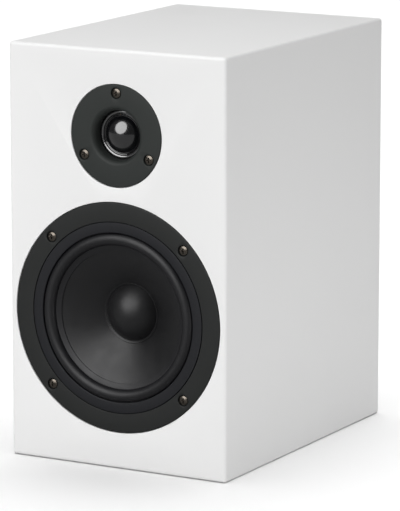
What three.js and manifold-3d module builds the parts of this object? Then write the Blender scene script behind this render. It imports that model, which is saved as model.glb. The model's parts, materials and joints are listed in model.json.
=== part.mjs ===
// A two-way bookshelf speaker: painted cabinet of six panels, cone woofer, dome tweeter, reflex port,
// recessed terminals and the passive crossover behind them.
// Millimetres, +Z up. The origin is the centre of the underside, the baffle faces -Y.
// Inside a driver's group the local Y is the depth behind the front plane of the baffle.
import * as THREE from "three";
import { mergeVertices } from "three/addons/utils/BufferGeometryUtils.js";
import { RoundedBoxGeometry } from "three/addons/geometries/RoundedBoxGeometry.js";
import Module from "manifold-3d";

const wasm = await Module();
wasm.setup();

// ---- driving dimensions ----------------------------------------------------------------------------

const CABINET = { width: 153, depth: 210, height: 262, wall: 12, baffle: 18, edge: 2 };
const GAP = 0.25; // between pieces that seat on each other
const FIT = 0.3; // radial room of a flange in its rebate

const WOOFER = {
  height: 95.25, // centre above the base
  flange: 72.25,
  trimInner: 60.25,
  trimThick: 2.75,
  screwRing: 66,
  basketPlate: 2,
  basketWall: 57.25,
  basketDepth: 46,
  ledge: 45.5,
  ledgeDepth: 33.5,
  cupRadius: 37.5,
  sheet: 1.5,
  windowHalf: 31, // degrees
  windowFront: 10,
  windowInset: 3,
  sealThick: 1,
  sealInner: 59.25,
  sealInset: 1.5,
  rollOuter: 53,
  rollInner: 45.25,
  rollFoot: 2.5,
  rubber: 0.9,
  lipInner: 42,
  coneRim: 45,
  coneRimDepth: 3.25,
  coneDepth: 19,
  coneCurve: 5.5, // part of the depth that follows the square of the way inwards
  coneThick: 0.9,
  capRadius: 17.5,
  capLip: 19,
  capRise: 10.25,
  capThick: 0.8,
  coil: 12.75, // radius of the middle of the former
  coilWall: 0.3,
  winding: 0.75,
  windingLength: 12,
  airGap: 0.6, // outside the winding
  poleGap: 0.4,
  basketHole: 16.75,
  magnet: 40,
  magnetInset: 8, // from the air gap to the ring magnet
  magnetThick: 15,
  topPlate: 38,
  topPlateThick: 5,
  backPlateThick: 6,
  vent: 4,
};

const TWEETER = {
  height: 208.75,
  plate: 31.75,
  plateThick: 4,
  dish: 18.75,
  throat: 15.5,
  dishDepth: 4,
  boss: 21.5,
  bossDepth: 7.5,
  screwRing: 26.25,
  domeRadius: 12.5,
  domeRise: 7.25,
  domeBase: 8,
  shell: 0.4,
  roll: 1.1,
  film: 0.4,
  ringThick: 1.5,
  yoke: 19.5,
  yokeDepth: 14,
  yokeBase: 4,
  coilWall: 0.3,
  winding: 0.5,
  airGap: 0.4,
  poleGap: 0.35,
  poleThick: 4.25,
  magnetThick: 5,
};

const PORT = { height: 200, bore: 17.5, wall: 2, flange: 26, flangeThick: 3, length: 95, flare: 7 };

const CUP = {
  height: 80,
  width: 96,
  tall: 76,
  flangeThick: 3,
  corner: 8,
  pocketWidth: 72,
  pocketTall: 54,
  pocketDepth: 26,
  wall: 2,
  postPitch: 28,
  screwInset: 6,
};

const POST = { stud: 3, socket: 2, socketDepth: 16, collar: 7.5, collarThick: 2.5, washer: 6, washerThick: 1 };
const KNOB = { radius: 6.75, length: 15, flutes: 12, fluteDepth: 0.6, bore: 3.35 };
const SCREW = { head: 2.95, headThick: 1.4, shank: 1.6, length: 14, recess: 1.1, slot: 0.9, slotReach: 1.75 };
const SEAT = { radius: 3.55, depth: 1.75, clearance: 2 };
const BOARD = { width: 80, tall: 76, thick: 1.5, lift: 6.5 };
const CABLE = { radius: 1.8, sides: 8, steps: 16 };
const LEAD = { radius: 0.6, sides: 8, steps: 8, offset: 5 };
const FLEECE = { room: 7.5, thick: 18 }; // room: to the walls around it

const ROUND = { large: 32, middle: 20, small: 16, screw: 8 };

const FRONT = -CABINET.depth / 2;
const REAR = CABINET.depth / 2;

// ---- finishes --------------------------------------------------------------------------------------

function finish(color, roughness, metalness = 0) {
  return () => new THREE.MeshStandardMaterial({ color, roughness, metalness });
}

const FINISH = {
  paint: finish(0xe9e9e8, 0.45),
  darkPlate: finish(0x35373a, 0.62),
  trim: finish(0x2e2f2e, 0.6),
  gasket: finish(0x26272a, 0.7),
  rubber: finish(0x161617, 0.5),
  cone: finish(0x1c1c1e, 0.42),
  silk: finish(0x0b0b0c, 0.12),
  spider: finish(0xb98a3a, 0.9),
  steel: finish(0x8d9093, 0.4, 0.9),
  zinc: finish(0xb7b9bb, 0.35, 0.9),
  ferrite: finish(0x2b2b2d, 0.75),
  blackScrew: finish(0x3b342d, 0.35, 0.8),
  gold: finish(0xc79a4b, 0.25, 1),
  red: finish(0xa6191c, 0.35),
  black: finish(0x141414, 0.35),
  abs: finish(0x1b1b1c, 0.55),
  board: finish(0x2f5d3a, 0.6),
  copper: finish(0xb5653a, 0.3, 0.9),
  film: finish(0xd8b23c, 0.4),
  can: finish(0x24375e, 0.4),
  ceramic: finish(0xdcd8cc, 0.8),
  fleece: finish(0xe6e6e2, 0.95),
  wire: finish(0x1d1d1d, 0.5),
  tinsel: finish(0xa9744a, 0.4, 0.8),
  foam: finish(0x1a1a1a, 0.9),
};

// ---- shape helpers ---------------------------------------------------------------------------------

function withoutSlivers(geometry) {
  const bare = geometry.clone();
  for (const name of ["normal", "uv"]) {
    bare.deleteAttribute(name);
  }
  const merged = mergeVertices(bare);
  const corners = Array.from(merged.index.array);
  const kept = [];
  for (let i = 0; i < corners.length; i += 3) {
    const [a, b, c] = corners.slice(i, i + 3);
    if (a !== b && b !== c && c !== a) {
      kept.push(a, b, c);
    }
  }
  merged.setIndex(kept);
  return merged;
}

function signedVolume(geometry) {
  const at = geometry.attributes.position;
  const corners = geometry.index.array;
  const [a, b, c] = [new THREE.Vector3(), new THREE.Vector3(), new THREE.Vector3()];
  let sum = 0;
  for (let i = 0; i < corners.length; i += 3) {
    a.fromBufferAttribute(at, corners[i]);
    b.fromBufferAttribute(at, corners[i + 1]);
    c.fromBufferAttribute(at, corners[i + 2]);
    sum += a.dot(b.cross(c)) / 6;
  }
  return sum;
}

function closed(geometry) {
  const merged = withoutSlivers(geometry);
  if (signedVolume(merged) < 0) {
    merged.setIndex(Array.from(merged.index.array).reverse());
  }
  return merged;
}

function toSolid(geometry) {
  const merged = closed(geometry);
  const vertProperties = Float32Array.from(merged.attributes.position.array);
  const triVerts = Uint32Array.from(merged.index.array);
  return new wasm.Manifold(new wasm.Mesh({ numProp: 3, vertProperties, triVerts }));
}

function toGeometry(solid) {
  const { vertProperties, triVerts } = solid.getMesh();
  const geometry = new THREE.BufferGeometry();
  geometry.setAttribute("position", new THREE.BufferAttribute(vertProperties, 3));
  geometry.setIndex(Array.from(triVerts));
  return geometry;
}

function cut(geometry, ...tools) {
  return toGeometry(tools.reduce((rest, tool) => rest.subtract(toSolid(tool)), toSolid(geometry)));
}

function joined(geometry, ...others) {
  return toGeometry(others.reduce((sum, other) => sum.add(toSolid(other)), toSolid(geometry)));
}

function piece(name, geometry, material) {
  const merged = closed(geometry);
  merged.computeVertexNormals();
  const mesh = new THREE.Mesh(merged, material());
  mesh.name = name;
  return mesh;
}

function placed(mesh, x, y, z) {
  mesh.position.set(x, y, z);
  return mesh;
}

// a solid of revolution about Y from [radius, y] corners; the outline closes on itself or on the axis
function turned(corners, segments) {
  const outline = corners.map(([radius, y]) => new THREE.Vector2(radius, y));
  const onAxis = corners[0][0] === 0 && corners[corners.length - 1][0] === 0;
  if (!onAxis) {
    outline.push(outline[0].clone());
  }
  return new THREE.LatheGeometry(outline, segments);
}

function ring(inner, outer, front, back, segments) {
  return turned([[inner, front], [outer, front], [outer, back], [inner, back]], segments);
}

function disc(radius, front, back, segments) {
  return turned([[0, front], [radius, front], [radius, back], [0, back]], segments);
}

function box(width, depth, height, x = 0, y = 0, z = 0) {
  return new THREE.BoxGeometry(width, depth, height).translate(x, y, z);
}

// an outline in X and Z carried along +Y
function slab(shape, thickness, curveSegments = 6) {
  const geometry = new THREE.ExtrudeGeometry(shape, { depth: thickness, bevelEnabled: false, curveSegments });
  return geometry.rotateX(Math.PI / 2).translate(0, thickness, 0);
}

function roundedRectangle(width, tall, corner) {
  const [x, y] = [width / 2, tall / 2];
  const shape = new THREE.Shape();
  shape.moveTo(-x + corner, -y);
  shape.lineTo(x - corner, -y);
  shape.absarc(x - corner, -y + corner, corner, -Math.PI / 2, 0);
  shape.lineTo(x, y - corner);
  shape.absarc(x - corner, y - corner, corner, 0, Math.PI / 2);
  shape.lineTo(-x + corner, y);
  shape.absarc(-x + corner, y - corner, corner, Math.PI / 2, Math.PI);
  shape.lineTo(-x, -y + corner);
  shape.absarc(-x + corner, -y + corner, corner, Math.PI, 1.5 * Math.PI);
  return shape;
}

function sector(inner, outer, middle, half) {
  const shape = new THREE.Shape();
  shape.absarc(0, 0, outer, middle - half, middle + half);
  shape.absarc(0, 0, inner, middle + half, middle - half, true);
  return shape;
}

function tube(points, radius, sides, steps) {
  const section = new THREE.Shape();
  for (let i = 0; i < sides; i += 1) {
    const turn = (2 * Math.PI * i) / sides;
    const to = i === 0 ? "moveTo" : "lineTo";
    section[to](radius * Math.cos(turn), radius * Math.sin(turn));
  }
  const extrudePath = new THREE.CatmullRomCurve3(points.map((at) => new THREE.Vector3(...at)));
  return new THREE.ExtrudeGeometry(section, { steps, extrudePath, bevelEnabled: false });
}

function around(radius, count, startDegrees) {
  return Array.from({ length: count }, (_, i) => {
    const turn = THREE.MathUtils.degToRad(startDegrees + (360 * i) / count);
    return [radius * Math.cos(turn), radius * Math.sin(turn)];
  });
}

function arc(centre, radius, fromDegrees, toDegrees, count) {
  return Array.from({ length: count + 1 }, (_, i) => {
    const turn = THREE.MathUtils.degToRad(fromDegrees + ((toDegrees - fromDegrees) * i) / count);
    return [centre[0] + radius * Math.cos(turn), centre[1] - radius * Math.sin(turn)];
  });
}

// ---- fasteners -------------------------------------------------------------------------------------

// a cross-head screw pointing along +Y, the top of its head at y = 0
function crossHeadScrew(name) {
  const { head, headThick, shank, length, recess, slot, slotReach } = SCREW;
  const body = turned([
    [0, 0], [head * 0.75, 0], [head, headThick * 0.4], [head, headThick], [shank, headThick],
    [shank, length - shank], [0, length],
  ], ROUND.screw);
  const bars = [box(2 * slotReach, 2 * recess, slot), box(slot, 2 * recess, 2 * slotReach)];
  return piece(name, cut(body, joined(...bars)), FINISH.blackScrew);
}

const SCREW_TOP = SEAT.depth - SCREW.headThick - GAP / 2;

// the counterbore and clearance hole of a screw that enters at y = 0
function screwSeat(x, z, depth) {
  const steps = [[0, -1], [SEAT.radius, -1], [SEAT.radius, SEAT.depth], [SEAT.clearance, SEAT.depth],
    [SEAT.clearance, depth], [0, depth]];
  return turned(steps, ROUND.screw).translate(x, 0, z);
}

function pilotHole(x, z, from, to) {
  return disc(SEAT.clearance, from, to, ROUND.screw).translate(x, 0, z);
}

const WOOFER_SCREWS = around(WOOFER.screwRing, 4, 45);
const TWEETER_SCREWS = around(TWEETER.screwRing, 3, 90);
const PILOT_END = SCREW_TOP + SCREW.length + 1;

// ---- cabinet ---------------------------------------------------------------------------------------

const WOOFER_BACK = WOOFER.trimThick + GAP + WOOFER.basketPlate;
const WOOFER_REBATE = WOOFER_BACK + GAP + WOOFER.sealThick + GAP;
const WOOFER_HOLE = WOOFER.basketWall + 1.25;
const TWEETER_REBATE = TWEETER.plateThick + GAP;
const TWEETER_HOLE = TWEETER.boss + 1;

// every panel keeps to the cabinet's rounded outer form
function withinCabinet(geometry, ...tools) {
  const { width, depth, height, edge } = CABINET;
  const form = new RoundedBoxGeometry(width, depth, height, 2, edge).translate(0, 0, height / 2);
  const whole = toSolid(geometry).intersect(toSolid(form));
  return toGeometry(tools.reduce((rest, tool) => rest.subtract(toSolid(tool)), whole));
}

function frontBaffle() {
  const { width, height, baffle } = CABINET;
  const wooferCuts = [
    disc(WOOFER.flange + FIT, -1, WOOFER_REBATE, ROUND.large),
    disc(WOOFER_HOLE, -1, baffle + 1, ROUND.large),
    ...WOOFER_SCREWS.map(([x, z]) => pilotHole(x, z, 0, PILOT_END)),
  ].map((tool) => tool.translate(0, FRONT, WOOFER.height));
  const tweeterCuts = [
    disc(TWEETER.plate + FIT, -1, TWEETER_REBATE, ROUND.large),
    disc(TWEETER_HOLE, -1, baffle + 1, ROUND.large),
    ...TWEETER_SCREWS.map(([x, z]) => pilotHole(x, z, 0, PILOT_END)),
  ].map((tool) => tool.translate(0, FRONT, TWEETER.height));
  const blank = box(width, baffle, height, 0, FRONT + baffle / 2, height / 2);
  return piece("front_baffle", withinCabinet(blank, ...wooferCuts, ...tweeterCuts), FINISH.paint);
}

const CUP_SCREWS = [[-1, -1], [1, -1], [1, 1], [-1, 1]].map(([sx, sz]) => [
  sx * (CUP.width / 2 - CUP.screwInset),
  sz * (CUP.tall / 2 - CUP.screwInset),
]);
const CUP_PILOT_END = REAR - PILOT_END;

function rearPanel() {
  const { width, wall, height } = CABINET;
  const blank = box(width - 2 * wall, wall, height - 2 * wall, 0, REAR - wall / 2, height / 2);
  const { pocketWidth, pocketTall } = CUP;
  const flangeRebate = slab(roundedRectangle(CUP.width + 2 * FIT, CUP.tall + 2 * FIT, CUP.corner), wall)
    .translate(0, REAR - CUP.flangeThick - GAP, CUP.height);
  const opening = box(pocketWidth + 2 * CUP.wall + 2 * FIT, 3 * wall, pocketTall + 2 * CUP.wall + 2 * FIT,
    0, REAR, CUP.height);
  const pilots = CUP_SCREWS.map(([x, z]) => disc(SEAT.clearance, CUP_PILOT_END, REAR, ROUND.screw)
    .translate(x, 0, CUP.height + z));
  const portRebate = disc(PORT.flange + FIT, REAR - PORT.flangeThick - GAP, REAR + 1, ROUND.middle)
    .translate(0, 0, PORT.height);
  const portHole = disc(PORT.bore + PORT.wall + FIT, REAR - 2 * wall, REAR + 1, ROUND.middle)
    .translate(0, 0, PORT.height);
  return piece("rear_panel", withinCabinet(blank, flangeRebate, opening, ...pilots, portRebate, portHole),
    FINISH.paint);
}

function shellPanels() {
  const { width, depth, height, wall, baffle } = CABINET;
  const run = depth - baffle;
  const middle = FRONT + baffle + run / 2;
  const side = (width - wall) / 2;
  const lid = [width - 2 * wall, run, wall];
  const flank = [wall, run, height];
  return [
    piece("left_side_panel", withinCabinet(box(...flank, -side, middle, height / 2)), FINISH.paint),
    piece("right_side_panel", withinCabinet(box(...flank, side, middle, height / 2)), FINISH.paint),
    piece("top_panel", withinCabinet(box(...lid, 0, middle, height - wall / 2)), FINISH.paint),
    piece("bottom_panel", withinCabinet(box(...lid, 0, middle, wall / 2)), FINISH.paint),
  ];
}

function dampingFleece() {
  const { width, depth, wall, baffle } = CABINET;
  const { room, thick } = FLEECE;
  const corner = 4;
  const length = depth - baffle - wall - 2 * room;
  const pad = new RoundedBoxGeometry(width - 2 * (wall + room), length, thick, 1, corner);
  const middle = FRONT + baffle + room + length / 2;
  return placed(piece("damping_fleece", pad, FINISH.fleece), 0, middle, wall + GAP + thick / 2);
}

// ---- woofer ----------------------------------------------------------------------------------------

// depth of the cone's front face at a radius: a straight part plus a share of the square
function coneFront(radius) {
  const way = (WOOFER.coneRim - radius) / (WOOFER.coneRim - WOOFER.coil - WOOFER.coilWall / 2 - GAP);
  return WOOFER.coneRimDepth + (WOOFER.coneDepth - WOOFER.coneCurve) * way + WOOFER.coneCurve * way * way;
}

function steps(from, to, count) {
  return Array.from({ length: count + 1 }, (_, i) => from + ((to - from) * i) / count);
}

function wooferTrimRing() {
  const { trimInner, flange, trimThick } = WOOFER;
  const edge = 0.5;
  const band = turned([
    [trimInner, edge], [trimInner + edge, 0], [flange - edge, 0], [flange, edge],
    [flange, trimThick], [trimInner, trimThick],
  ], ROUND.large);
  const seats = WOOFER_SCREWS.map(([x, z]) => screwSeat(x, z, trimThick + 1));
  return piece("woofer_trim_ring", cut(band, ...seats), FINISH.trim);
}

const LIP_THICK = 0.75;
const GASKET_OUTER = WOOFER.trimInner - 0.5;

function wooferGasketRing() {
  const back = WOOFER.trimThick - LIP_THICK - GAP;
  const band = ring(WOOFER.rollOuter + GAP, GASKET_OUTER, 0, back, ROUND.large);
  return piece("woofer_gasket_ring", band, FINISH.gasket);
}

function wooferSurround() {
  const { rollOuter, rollInner, rollFoot, rubber, lipInner, trimThick } = WOOFER;
  const middle = [(rollOuter + rollInner) / 2, rollFoot];
  const outside = (rollOuter - rollInner) / 2;
  const lipFront = trimThick - LIP_THICK;
  const lift = THREE.MathUtils.radToDeg(Math.asin((rollFoot - lipFront) / outside));
  const glue = 0.5;
  const front = [[GASKET_OUTER, lipFront], ...arc(middle, outside, lift, 180, 7)];
  const seat = [lipInner, coneFront(lipInner) - GAP];
  const rim = coneFront(WOOFER.coneRim + GAP) - GAP;
  const back = [[rollInner, rim], [rollInner + rubber, rim], ...arc(middle, outside - rubber, 180, 0, 6),
    [rollOuter - rubber, trimThick], [GASKET_OUTER, trimThick]];
  const outline = [...front, [seat[0], seat[1] - glue], seat, ...back];
  return piece("woofer_surround", turned(outline, ROUND.large), FINISH.rubber);
}

const NECK = WOOFER.coil + WOOFER.coilWall / 2 + GAP;

function wooferCone() {
  const front = steps(WOOFER.coneRim + GAP, NECK, 6).map((r) => [r, coneFront(r)]);
  const back = front.map(([r, y]) => [r, y + WOOFER.coneThick]).reverse();
  return piece("woofer_cone", turned([...front, ...back], ROUND.large), FINISH.cone);
}

function domeOutline(radius, rise, base, count) {
  const ball = (radius * radius + rise * rise) / (2 * rise);
  const half = Math.asin(radius / ball);
  return steps(0, half, count).map((turn) => [
    ball * Math.sin(turn),
    base - rise + ball * (1 - Math.cos(turn)),
  ]);
}

function wooferDustCap() {
  const { capRadius, capLip, capRise, capThick } = WOOFER;
  const seat = coneFront(capLip) - GAP;
  const base = coneFront(capRadius) - GAP - capThick / 2;
  const outside = domeOutline(capRadius, capRise, base, 6);
  const inside = domeOutline(capRadius - capThick, capRise - capThick, base, 6).reverse();
  outside[0][0] = 0;
  inside[inside.length - 1][0] = 0;
  const lip = [[capLip, seat - capThick / 2], [capLip, seat], [capRadius, coneFront(capRadius) - GAP]];
  return piece("woofer_dust_cap", turned([...outside, ...lip, ...inside], ROUND.middle), FINISH.cone);
}

function wooferBasket() {
  const { flange, trimThick, basketWall, ledge, ledgeDepth, cupRadius, sheet, basketDepth } = WOOFER;
  const { basketHole, windowFront, windowInset } = WOOFER;
  const lip = 2;
  const bend = 0.5;
  const front = trimThick + GAP;
  const bowl = turned([
    [basketWall - 2 * sheet, front], [flange - GAP, front], [flange - GAP, WOOFER_BACK],
    [basketWall, WOOFER_BACK], [ledge, ledgeDepth - bend], [ledge, ledgeDepth + sheet],
    [cupRadius, ledgeDepth + sheet], [cupRadius, basketDepth], [basketHole, basketDepth],
    [basketHole, basketDepth - sheet], [cupRadius - sheet, basketDepth - sheet],
    [cupRadius - sheet, ledgeDepth], [ledge - lip, ledgeDepth], [basketWall - 2 * sheet, WOOFER_BACK + 1],
  ], ROUND.middle);
  const half = THREE.MathUtils.degToRad(WOOFER.windowHalf);
  const windows = [0, 1, 2, 3].flatMap((i) => {
    const middle = (i * Math.PI) / 2;
    const upper = slab(sector(cupRadius + 1, flange, middle, half), ledgeDepth - windowFront - windowInset)
      .translate(0, windowFront, 0);
    const lowerLength = basketDepth - ledgeDepth - 2 * windowInset;
    const lower = slab(sector(basketHole, ledge - 1, middle, half), lowerLength)
      .translate(0, ledgeDepth + windowInset, 0);
    return [upper, lower];
  });
  const seats = WOOFER_SCREWS.map(([x, z]) => pilotHole(x, z, 0, WOOFER_BACK + 1));
  return piece("woofer_basket", cut(bowl, ...windows, ...seats), FINISH.zinc);
}

function wooferSeal() {
  const start = WOOFER_BACK + GAP;
  const band = ring(WOOFER.sealInner, WOOFER.flange - WOOFER.sealInset, start, start + WOOFER.sealThick,
    ROUND.middle);
  const seats = WOOFER_SCREWS.map(([x, z]) => pilotHole(x, z, start - 1, start + WOOFER.sealThick + 1));
  return piece("woofer_seal", cut(band, ...seats), FINISH.foam);
}

function wooferSpider() {
  const { ledge, ledgeDepth, cupRadius } = WOOFER;
  const thick = 0.75;
  const seat = ledgeDepth - GAP;
  const rim = ledge - 2.75;
  const foot = cupRadius - 1;
  const wave = 1.1;
  const waves = steps(foot, NECK, 7).map((r, i) => [r, seat - thick - (i % 2 === 1 ? wave : 0)]);
  const front = [[rim, seat - thick], ...waves];
  const back = front.map(([r, y]) => [r, y + thick]).reverse();
  return piece("woofer_spider", turned([...front, ...back], ROUND.middle), FINISH.spider);
}

const TOP_PLATE = WOOFER.basketDepth + GAP;
const MAGNET = TOP_PLATE + WOOFER.topPlateThick + GAP;
const BACK_PLATE = MAGNET + WOOFER.magnetThick + GAP;

function wooferVoiceCoil() {
  const { coil, coilWall, winding, windingLength } = WOOFER;
  const inside = coil - coilWall / 2;
  const outside = coil + coilWall / 2;
  const wound = outside + winding;
  const middle = TOP_PLATE + WOOFER.topPlateThick / 2;
  const top = coneFront(NECK) - 1;
  const end = middle + windingLength / 2;
  const outline = [[inside, top], [outside, top], [outside, end - windingLength], [wound, end - windingLength],
    [wound, end], [outside, end], [outside, end + 1], [inside, end + 1]];
  return piece("woofer_voice_coil", turned(outline, ROUND.middle), FINISH.copper);
}

function wooferMotor() {
  const { coil, coilWall, winding, topPlate, topPlateThick, magnet, magnetThick, backPlateThick, vent } = WOOFER;
  const gapOuter = coil + coilWall / 2 + winding + WOOFER.airGap;
  const pole = coil - coilWall / 2 - WOOFER.poleGap;
  const magnetHole = gapOuter + WOOFER.magnetInset;
  const proud = 0.5; // the pole in front of the top plate
  const ventFlare = 2;
  const plateEnd = BACK_PLATE + backPlateThick;
  const yoke = turned([
    [vent, TOP_PLATE - proud], [pole, TOP_PLATE - proud], [pole, BACK_PLATE], [topPlate, BACK_PLATE],
    [topPlate, plateEnd - 1], [topPlate - 1, plateEnd], [vent + ventFlare, plateEnd],
    [vent, plateEnd - 1.5 * ventFlare],
  ], ROUND.middle);
  return [
    piece("woofer_top_plate", ring(gapOuter, topPlate, TOP_PLATE, TOP_PLATE + topPlateThick, ROUND.middle),
      FINISH.steel),
    piece("woofer_magnet", ring(magnetHole, magnet, MAGNET, MAGNET + magnetThick, ROUND.middle),
      FINISH.ferrite),
    piece("woofer_yoke", yoke, FINISH.steel),
  ];
}

const STRIP = { width: 22, reach: 11.5, thick: 1.5, tabWidth: 4.75, tabLength: 7, tabThick: 1 };
const STRIP_FRONT = WOOFER.ledgeDepth;
const STRIP_START = WOOFER.ledge + GAP;
const TAB_HEIGHT = STRIP_START + STRIP.reach - 2.5;

function wooferTerminalStrip() {
  const { width, reach, thick, tabWidth, tabLength, tabThick } = STRIP;
  const card = box(width, thick, reach, 0, STRIP_FRONT + thick / 2, STRIP_START + reach / 2);
  const tabs = [-1, 1].map((side) => box(tabWidth, tabLength, tabThick,
    side * LEAD.offset, STRIP_FRONT + thick / 2 + tabLength / 2, TAB_HEIGHT));
  return piece("woofer_terminal_strip", joined(card, ...tabs), FINISH.board);
}

function tinselLead(name, side) {
  const x = side * LEAD.offset;
  const glue = 23;
  const route = [
    [x, STRIP_FRONT - GAP, STRIP_START + 5], [x, STRIP_FRONT - 4, STRIP_START + 5],
    [x, STRIP_FRONT - 9, STRIP_START - 1], [x, STRIP_FRONT - 11.5, STRIP_START - 9],
    [x, STRIP_FRONT - 11, STRIP_START - 16], [x, coneFront(glue) + WOOFER.coneThick + 4, glue + 1],
    [x, coneFront(glue) + WOOFER.coneThick + GAP, glue],
  ];
  return piece(name, tube(route, LEAD.radius, LEAD.sides, LEAD.steps), FINISH.tinsel);
}

function screwSet(stem, places) {
  return places.map(([x, z], i) => placed(crossHeadScrew(`${stem}_screw_${i + 1}`), x, SCREW_TOP, z));
}

function woofer() {
  const group = new THREE.Group();
  group.position.set(0, FRONT, WOOFER.height);
  group.add(wooferTrimRing(), wooferGasketRing(), wooferSurround(), wooferCone(), wooferDustCap());
  group.add(wooferBasket(), wooferSeal(), wooferSpider(), wooferVoiceCoil(), ...wooferMotor());
  group.add(wooferTerminalStrip(), tinselLead("tinsel_lead_left", -1), tinselLead("tinsel_lead_right", 1));
  group.add(...screwSet("woofer", WOOFER_SCREWS));
  return group;
}

// ---- tweeter ---------------------------------------------------------------------------------------

function tweeterFaceplate() {
  const { plate, plateThick, dish, throat, dishDepth, boss, bossDepth } = TWEETER;
  const edge = 0.5;
  const shoulder = steps(0, Math.PI / 2, 4).map((turn) => [
    dish - (dish - throat) * Math.sin(turn),
    dishDepth * (1 - Math.cos(turn)),
  ]);
  const body = turned([
    ...shoulder, [throat, bossDepth], [boss, bossDepth], [boss, plateThick], [plate, plateThick],
    [plate, edge], [plate - edge, 0],
  ], ROUND.large);
  const seats = TWEETER_SCREWS.map(([x, z]) => screwSeat(x, z, plateThick + 1));
  return piece("tweeter_faceplate", cut(body, ...seats), FINISH.darkPlate);
}

const TWEETER_LIP = TWEETER.bossDepth + GAP;
const TWEETER_RING = TWEETER_LIP + TWEETER.film + GAP;
const TWEETER_MOTOR = TWEETER_RING + TWEETER.ringThick + GAP;
const TWEETER_COIL = TWEETER.domeRadius;

function tweeterSurround() {
  const { domeRadius, roll, film, throat, boss } = TWEETER;
  const inner = domeRadius + GAP;
  const middle = [inner + roll + film / 2, TWEETER_LIP + film];
  const outside = roll + film / 2;
  const front = [[boss - 1, TWEETER_LIP], [throat, TWEETER_LIP], ...arc(middle, outside, 20, 180, 5)];
  const back = [[inner + film, TWEETER_LIP + film], ...arc(middle, outside - film, 160, 20, 4),
    [boss - 1, TWEETER_LIP + film]];
  return piece("tweeter_surround", turned([...front, ...back], ROUND.middle), FINISH.rubber);
}

function tweeterDome() {
  const { domeRadius, domeRise, domeBase, shell } = TWEETER;
  const outside = domeOutline(domeRadius, domeRise, domeBase, 6);
  const inside = domeOutline(domeRadius - shell, domeRise - shell, domeBase, 6).reverse();
  outside[0][0] = 0;
  inside[inside.length - 1][0] = 0;
  return piece("tweeter_dome", turned([...outside, ...inside], ROUND.middle), FINISH.silk);
}

function tweeterVoiceCoil() {
  const { domeBase, coilWall, winding, poleThick } = TWEETER;
  const inside = TWEETER_COIL - coilWall;
  const wound = TWEETER_COIL + winding;
  const top = TWEETER_MOTOR + GAP;
  const outline = [[inside, domeBase + GAP], [TWEETER_COIL, domeBase + GAP], [TWEETER_COIL, top],
    [wound, top], [wound, top + poleThick - 1], [inside, top + poleThick - 1]];
  return piece("tweeter_voice_coil", turned(outline, ROUND.middle), FINISH.copper);
}

function tweeterMotor() {
  const { yoke, yokeDepth, yokeBase, coilWall, winding, airGap, poleGap } = TWEETER;
  const { poleThick, magnetThick, throat, boss } = TWEETER;
  const gapOuter = TWEETER_COIL + winding + airGap;
  const pole = TWEETER_COIL - coilWall - poleGap;
  const relief = 1.5; // the cup is wider behind the air gap
  const end = TWEETER_MOTOR + yokeDepth;
  const floor = end - yokeBase;
  const cup = turned([
    [0, floor], [gapOuter + relief, floor], [gapOuter + relief, TWEETER_MOTOR + poleThick],
    [gapOuter, TWEETER_MOTOR + poleThick], [gapOuter, TWEETER_MOTOR], [yoke, TWEETER_MOTOR],
    [yoke, end - 1], [yoke - 1, end], [0, end],
  ], ROUND.middle);
  const magnetFront = floor - GAP - magnetThick;
  const poleFront = magnetFront - GAP - poleThick;
  const ringBack = TWEETER_RING + TWEETER.ringThick;
  return [
    piece("tweeter_diaphragm_ring", ring(throat, boss, TWEETER_RING, ringBack, ROUND.middle), FINISH.abs),
    piece("tweeter_yoke", cup, FINISH.zinc),
    piece("tweeter_magnet", disc(pole - 1, magnetFront, floor - GAP, ROUND.middle), FINISH.zinc),
    piece("tweeter_pole_piece", disc(pole, poleFront, magnetFront - GAP, ROUND.middle), FINISH.steel),
  ];
}

const TWEETER_TABS = { spread: 5, card: 16, reach: 5, thick: 1.5, width: 3, length: 6, tabThick: 1 };

function tweeterTerminalStrip() {
  const { spread, card, reach, thick, width, length, tabThick } = TWEETER_TABS;
  const start = -(TWEETER.yoke + GAP);
  const back = CABINET.baffle + GAP + thick;
  const body = box(card, thick, reach, 0, back - thick / 2, start - reach / 2);
  const tabs = [-1, 1].map((side) => box(width, length, tabThick, side * spread,
    back - thick / 2 + length / 2, start - reach + width / 2));
  return piece("tweeter_terminal_strip", joined(body, ...tabs), FINISH.board);
}

function tweeter() {
  const group = new THREE.Group();
  group.position.set(0, FRONT, TWEETER.height);
  group.add(tweeterFaceplate(), tweeterSurround(), tweeterDome(), tweeterVoiceCoil(), ...tweeterMotor());
  group.add(tweeterTerminalStrip(), ...screwSet("tweeter", TWEETER_SCREWS));
  return group;
}

// ---- rear panel fittings ---------------------------------------------------------------------------

function portTube() {
  const { bore, wall, flange, flangeThick, length, flare } = PORT;
  const mouth = (end, inwards) => steps(0, Math.PI / 2, 3).map((turn) => [
    bore + flare * (1 - Math.sin(turn)),
    end + inwards * flare * (1 - Math.cos(turn)),
  ]);
  const outside = [[bore + wall, 0], [bore + wall, length - flangeThick], [flange, length - flangeThick],
    [flange, length - 0.5], [flange - 0.5, length]];
  const inside = [...mouth(length, -1), [bore, 0]];
  const mesh = piece("port_tube", turned([...outside, ...inside], ROUND.middle), FINISH.abs);
  return placed(mesh, 0, REAR - length, PORT.height);
}

const POST_PLACES = [["left", -1], ["right", 1]].map(([name, side]) => [name, (side * CUP.postPitch) / 2]);
const CUP_FLOOR = REAR - CUP.pocketDepth;
const POST_COLLAR_END = CUP_FLOOR + GAP + POST.collarThick;
const WASHER_START = POST_COLLAR_END + GAP;
const KNOB_START = WASHER_START + POST.washerThick + GAP;
const BOARD_REAR = CUP_FLOOR - CUP.wall - BOARD.lift;

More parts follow.
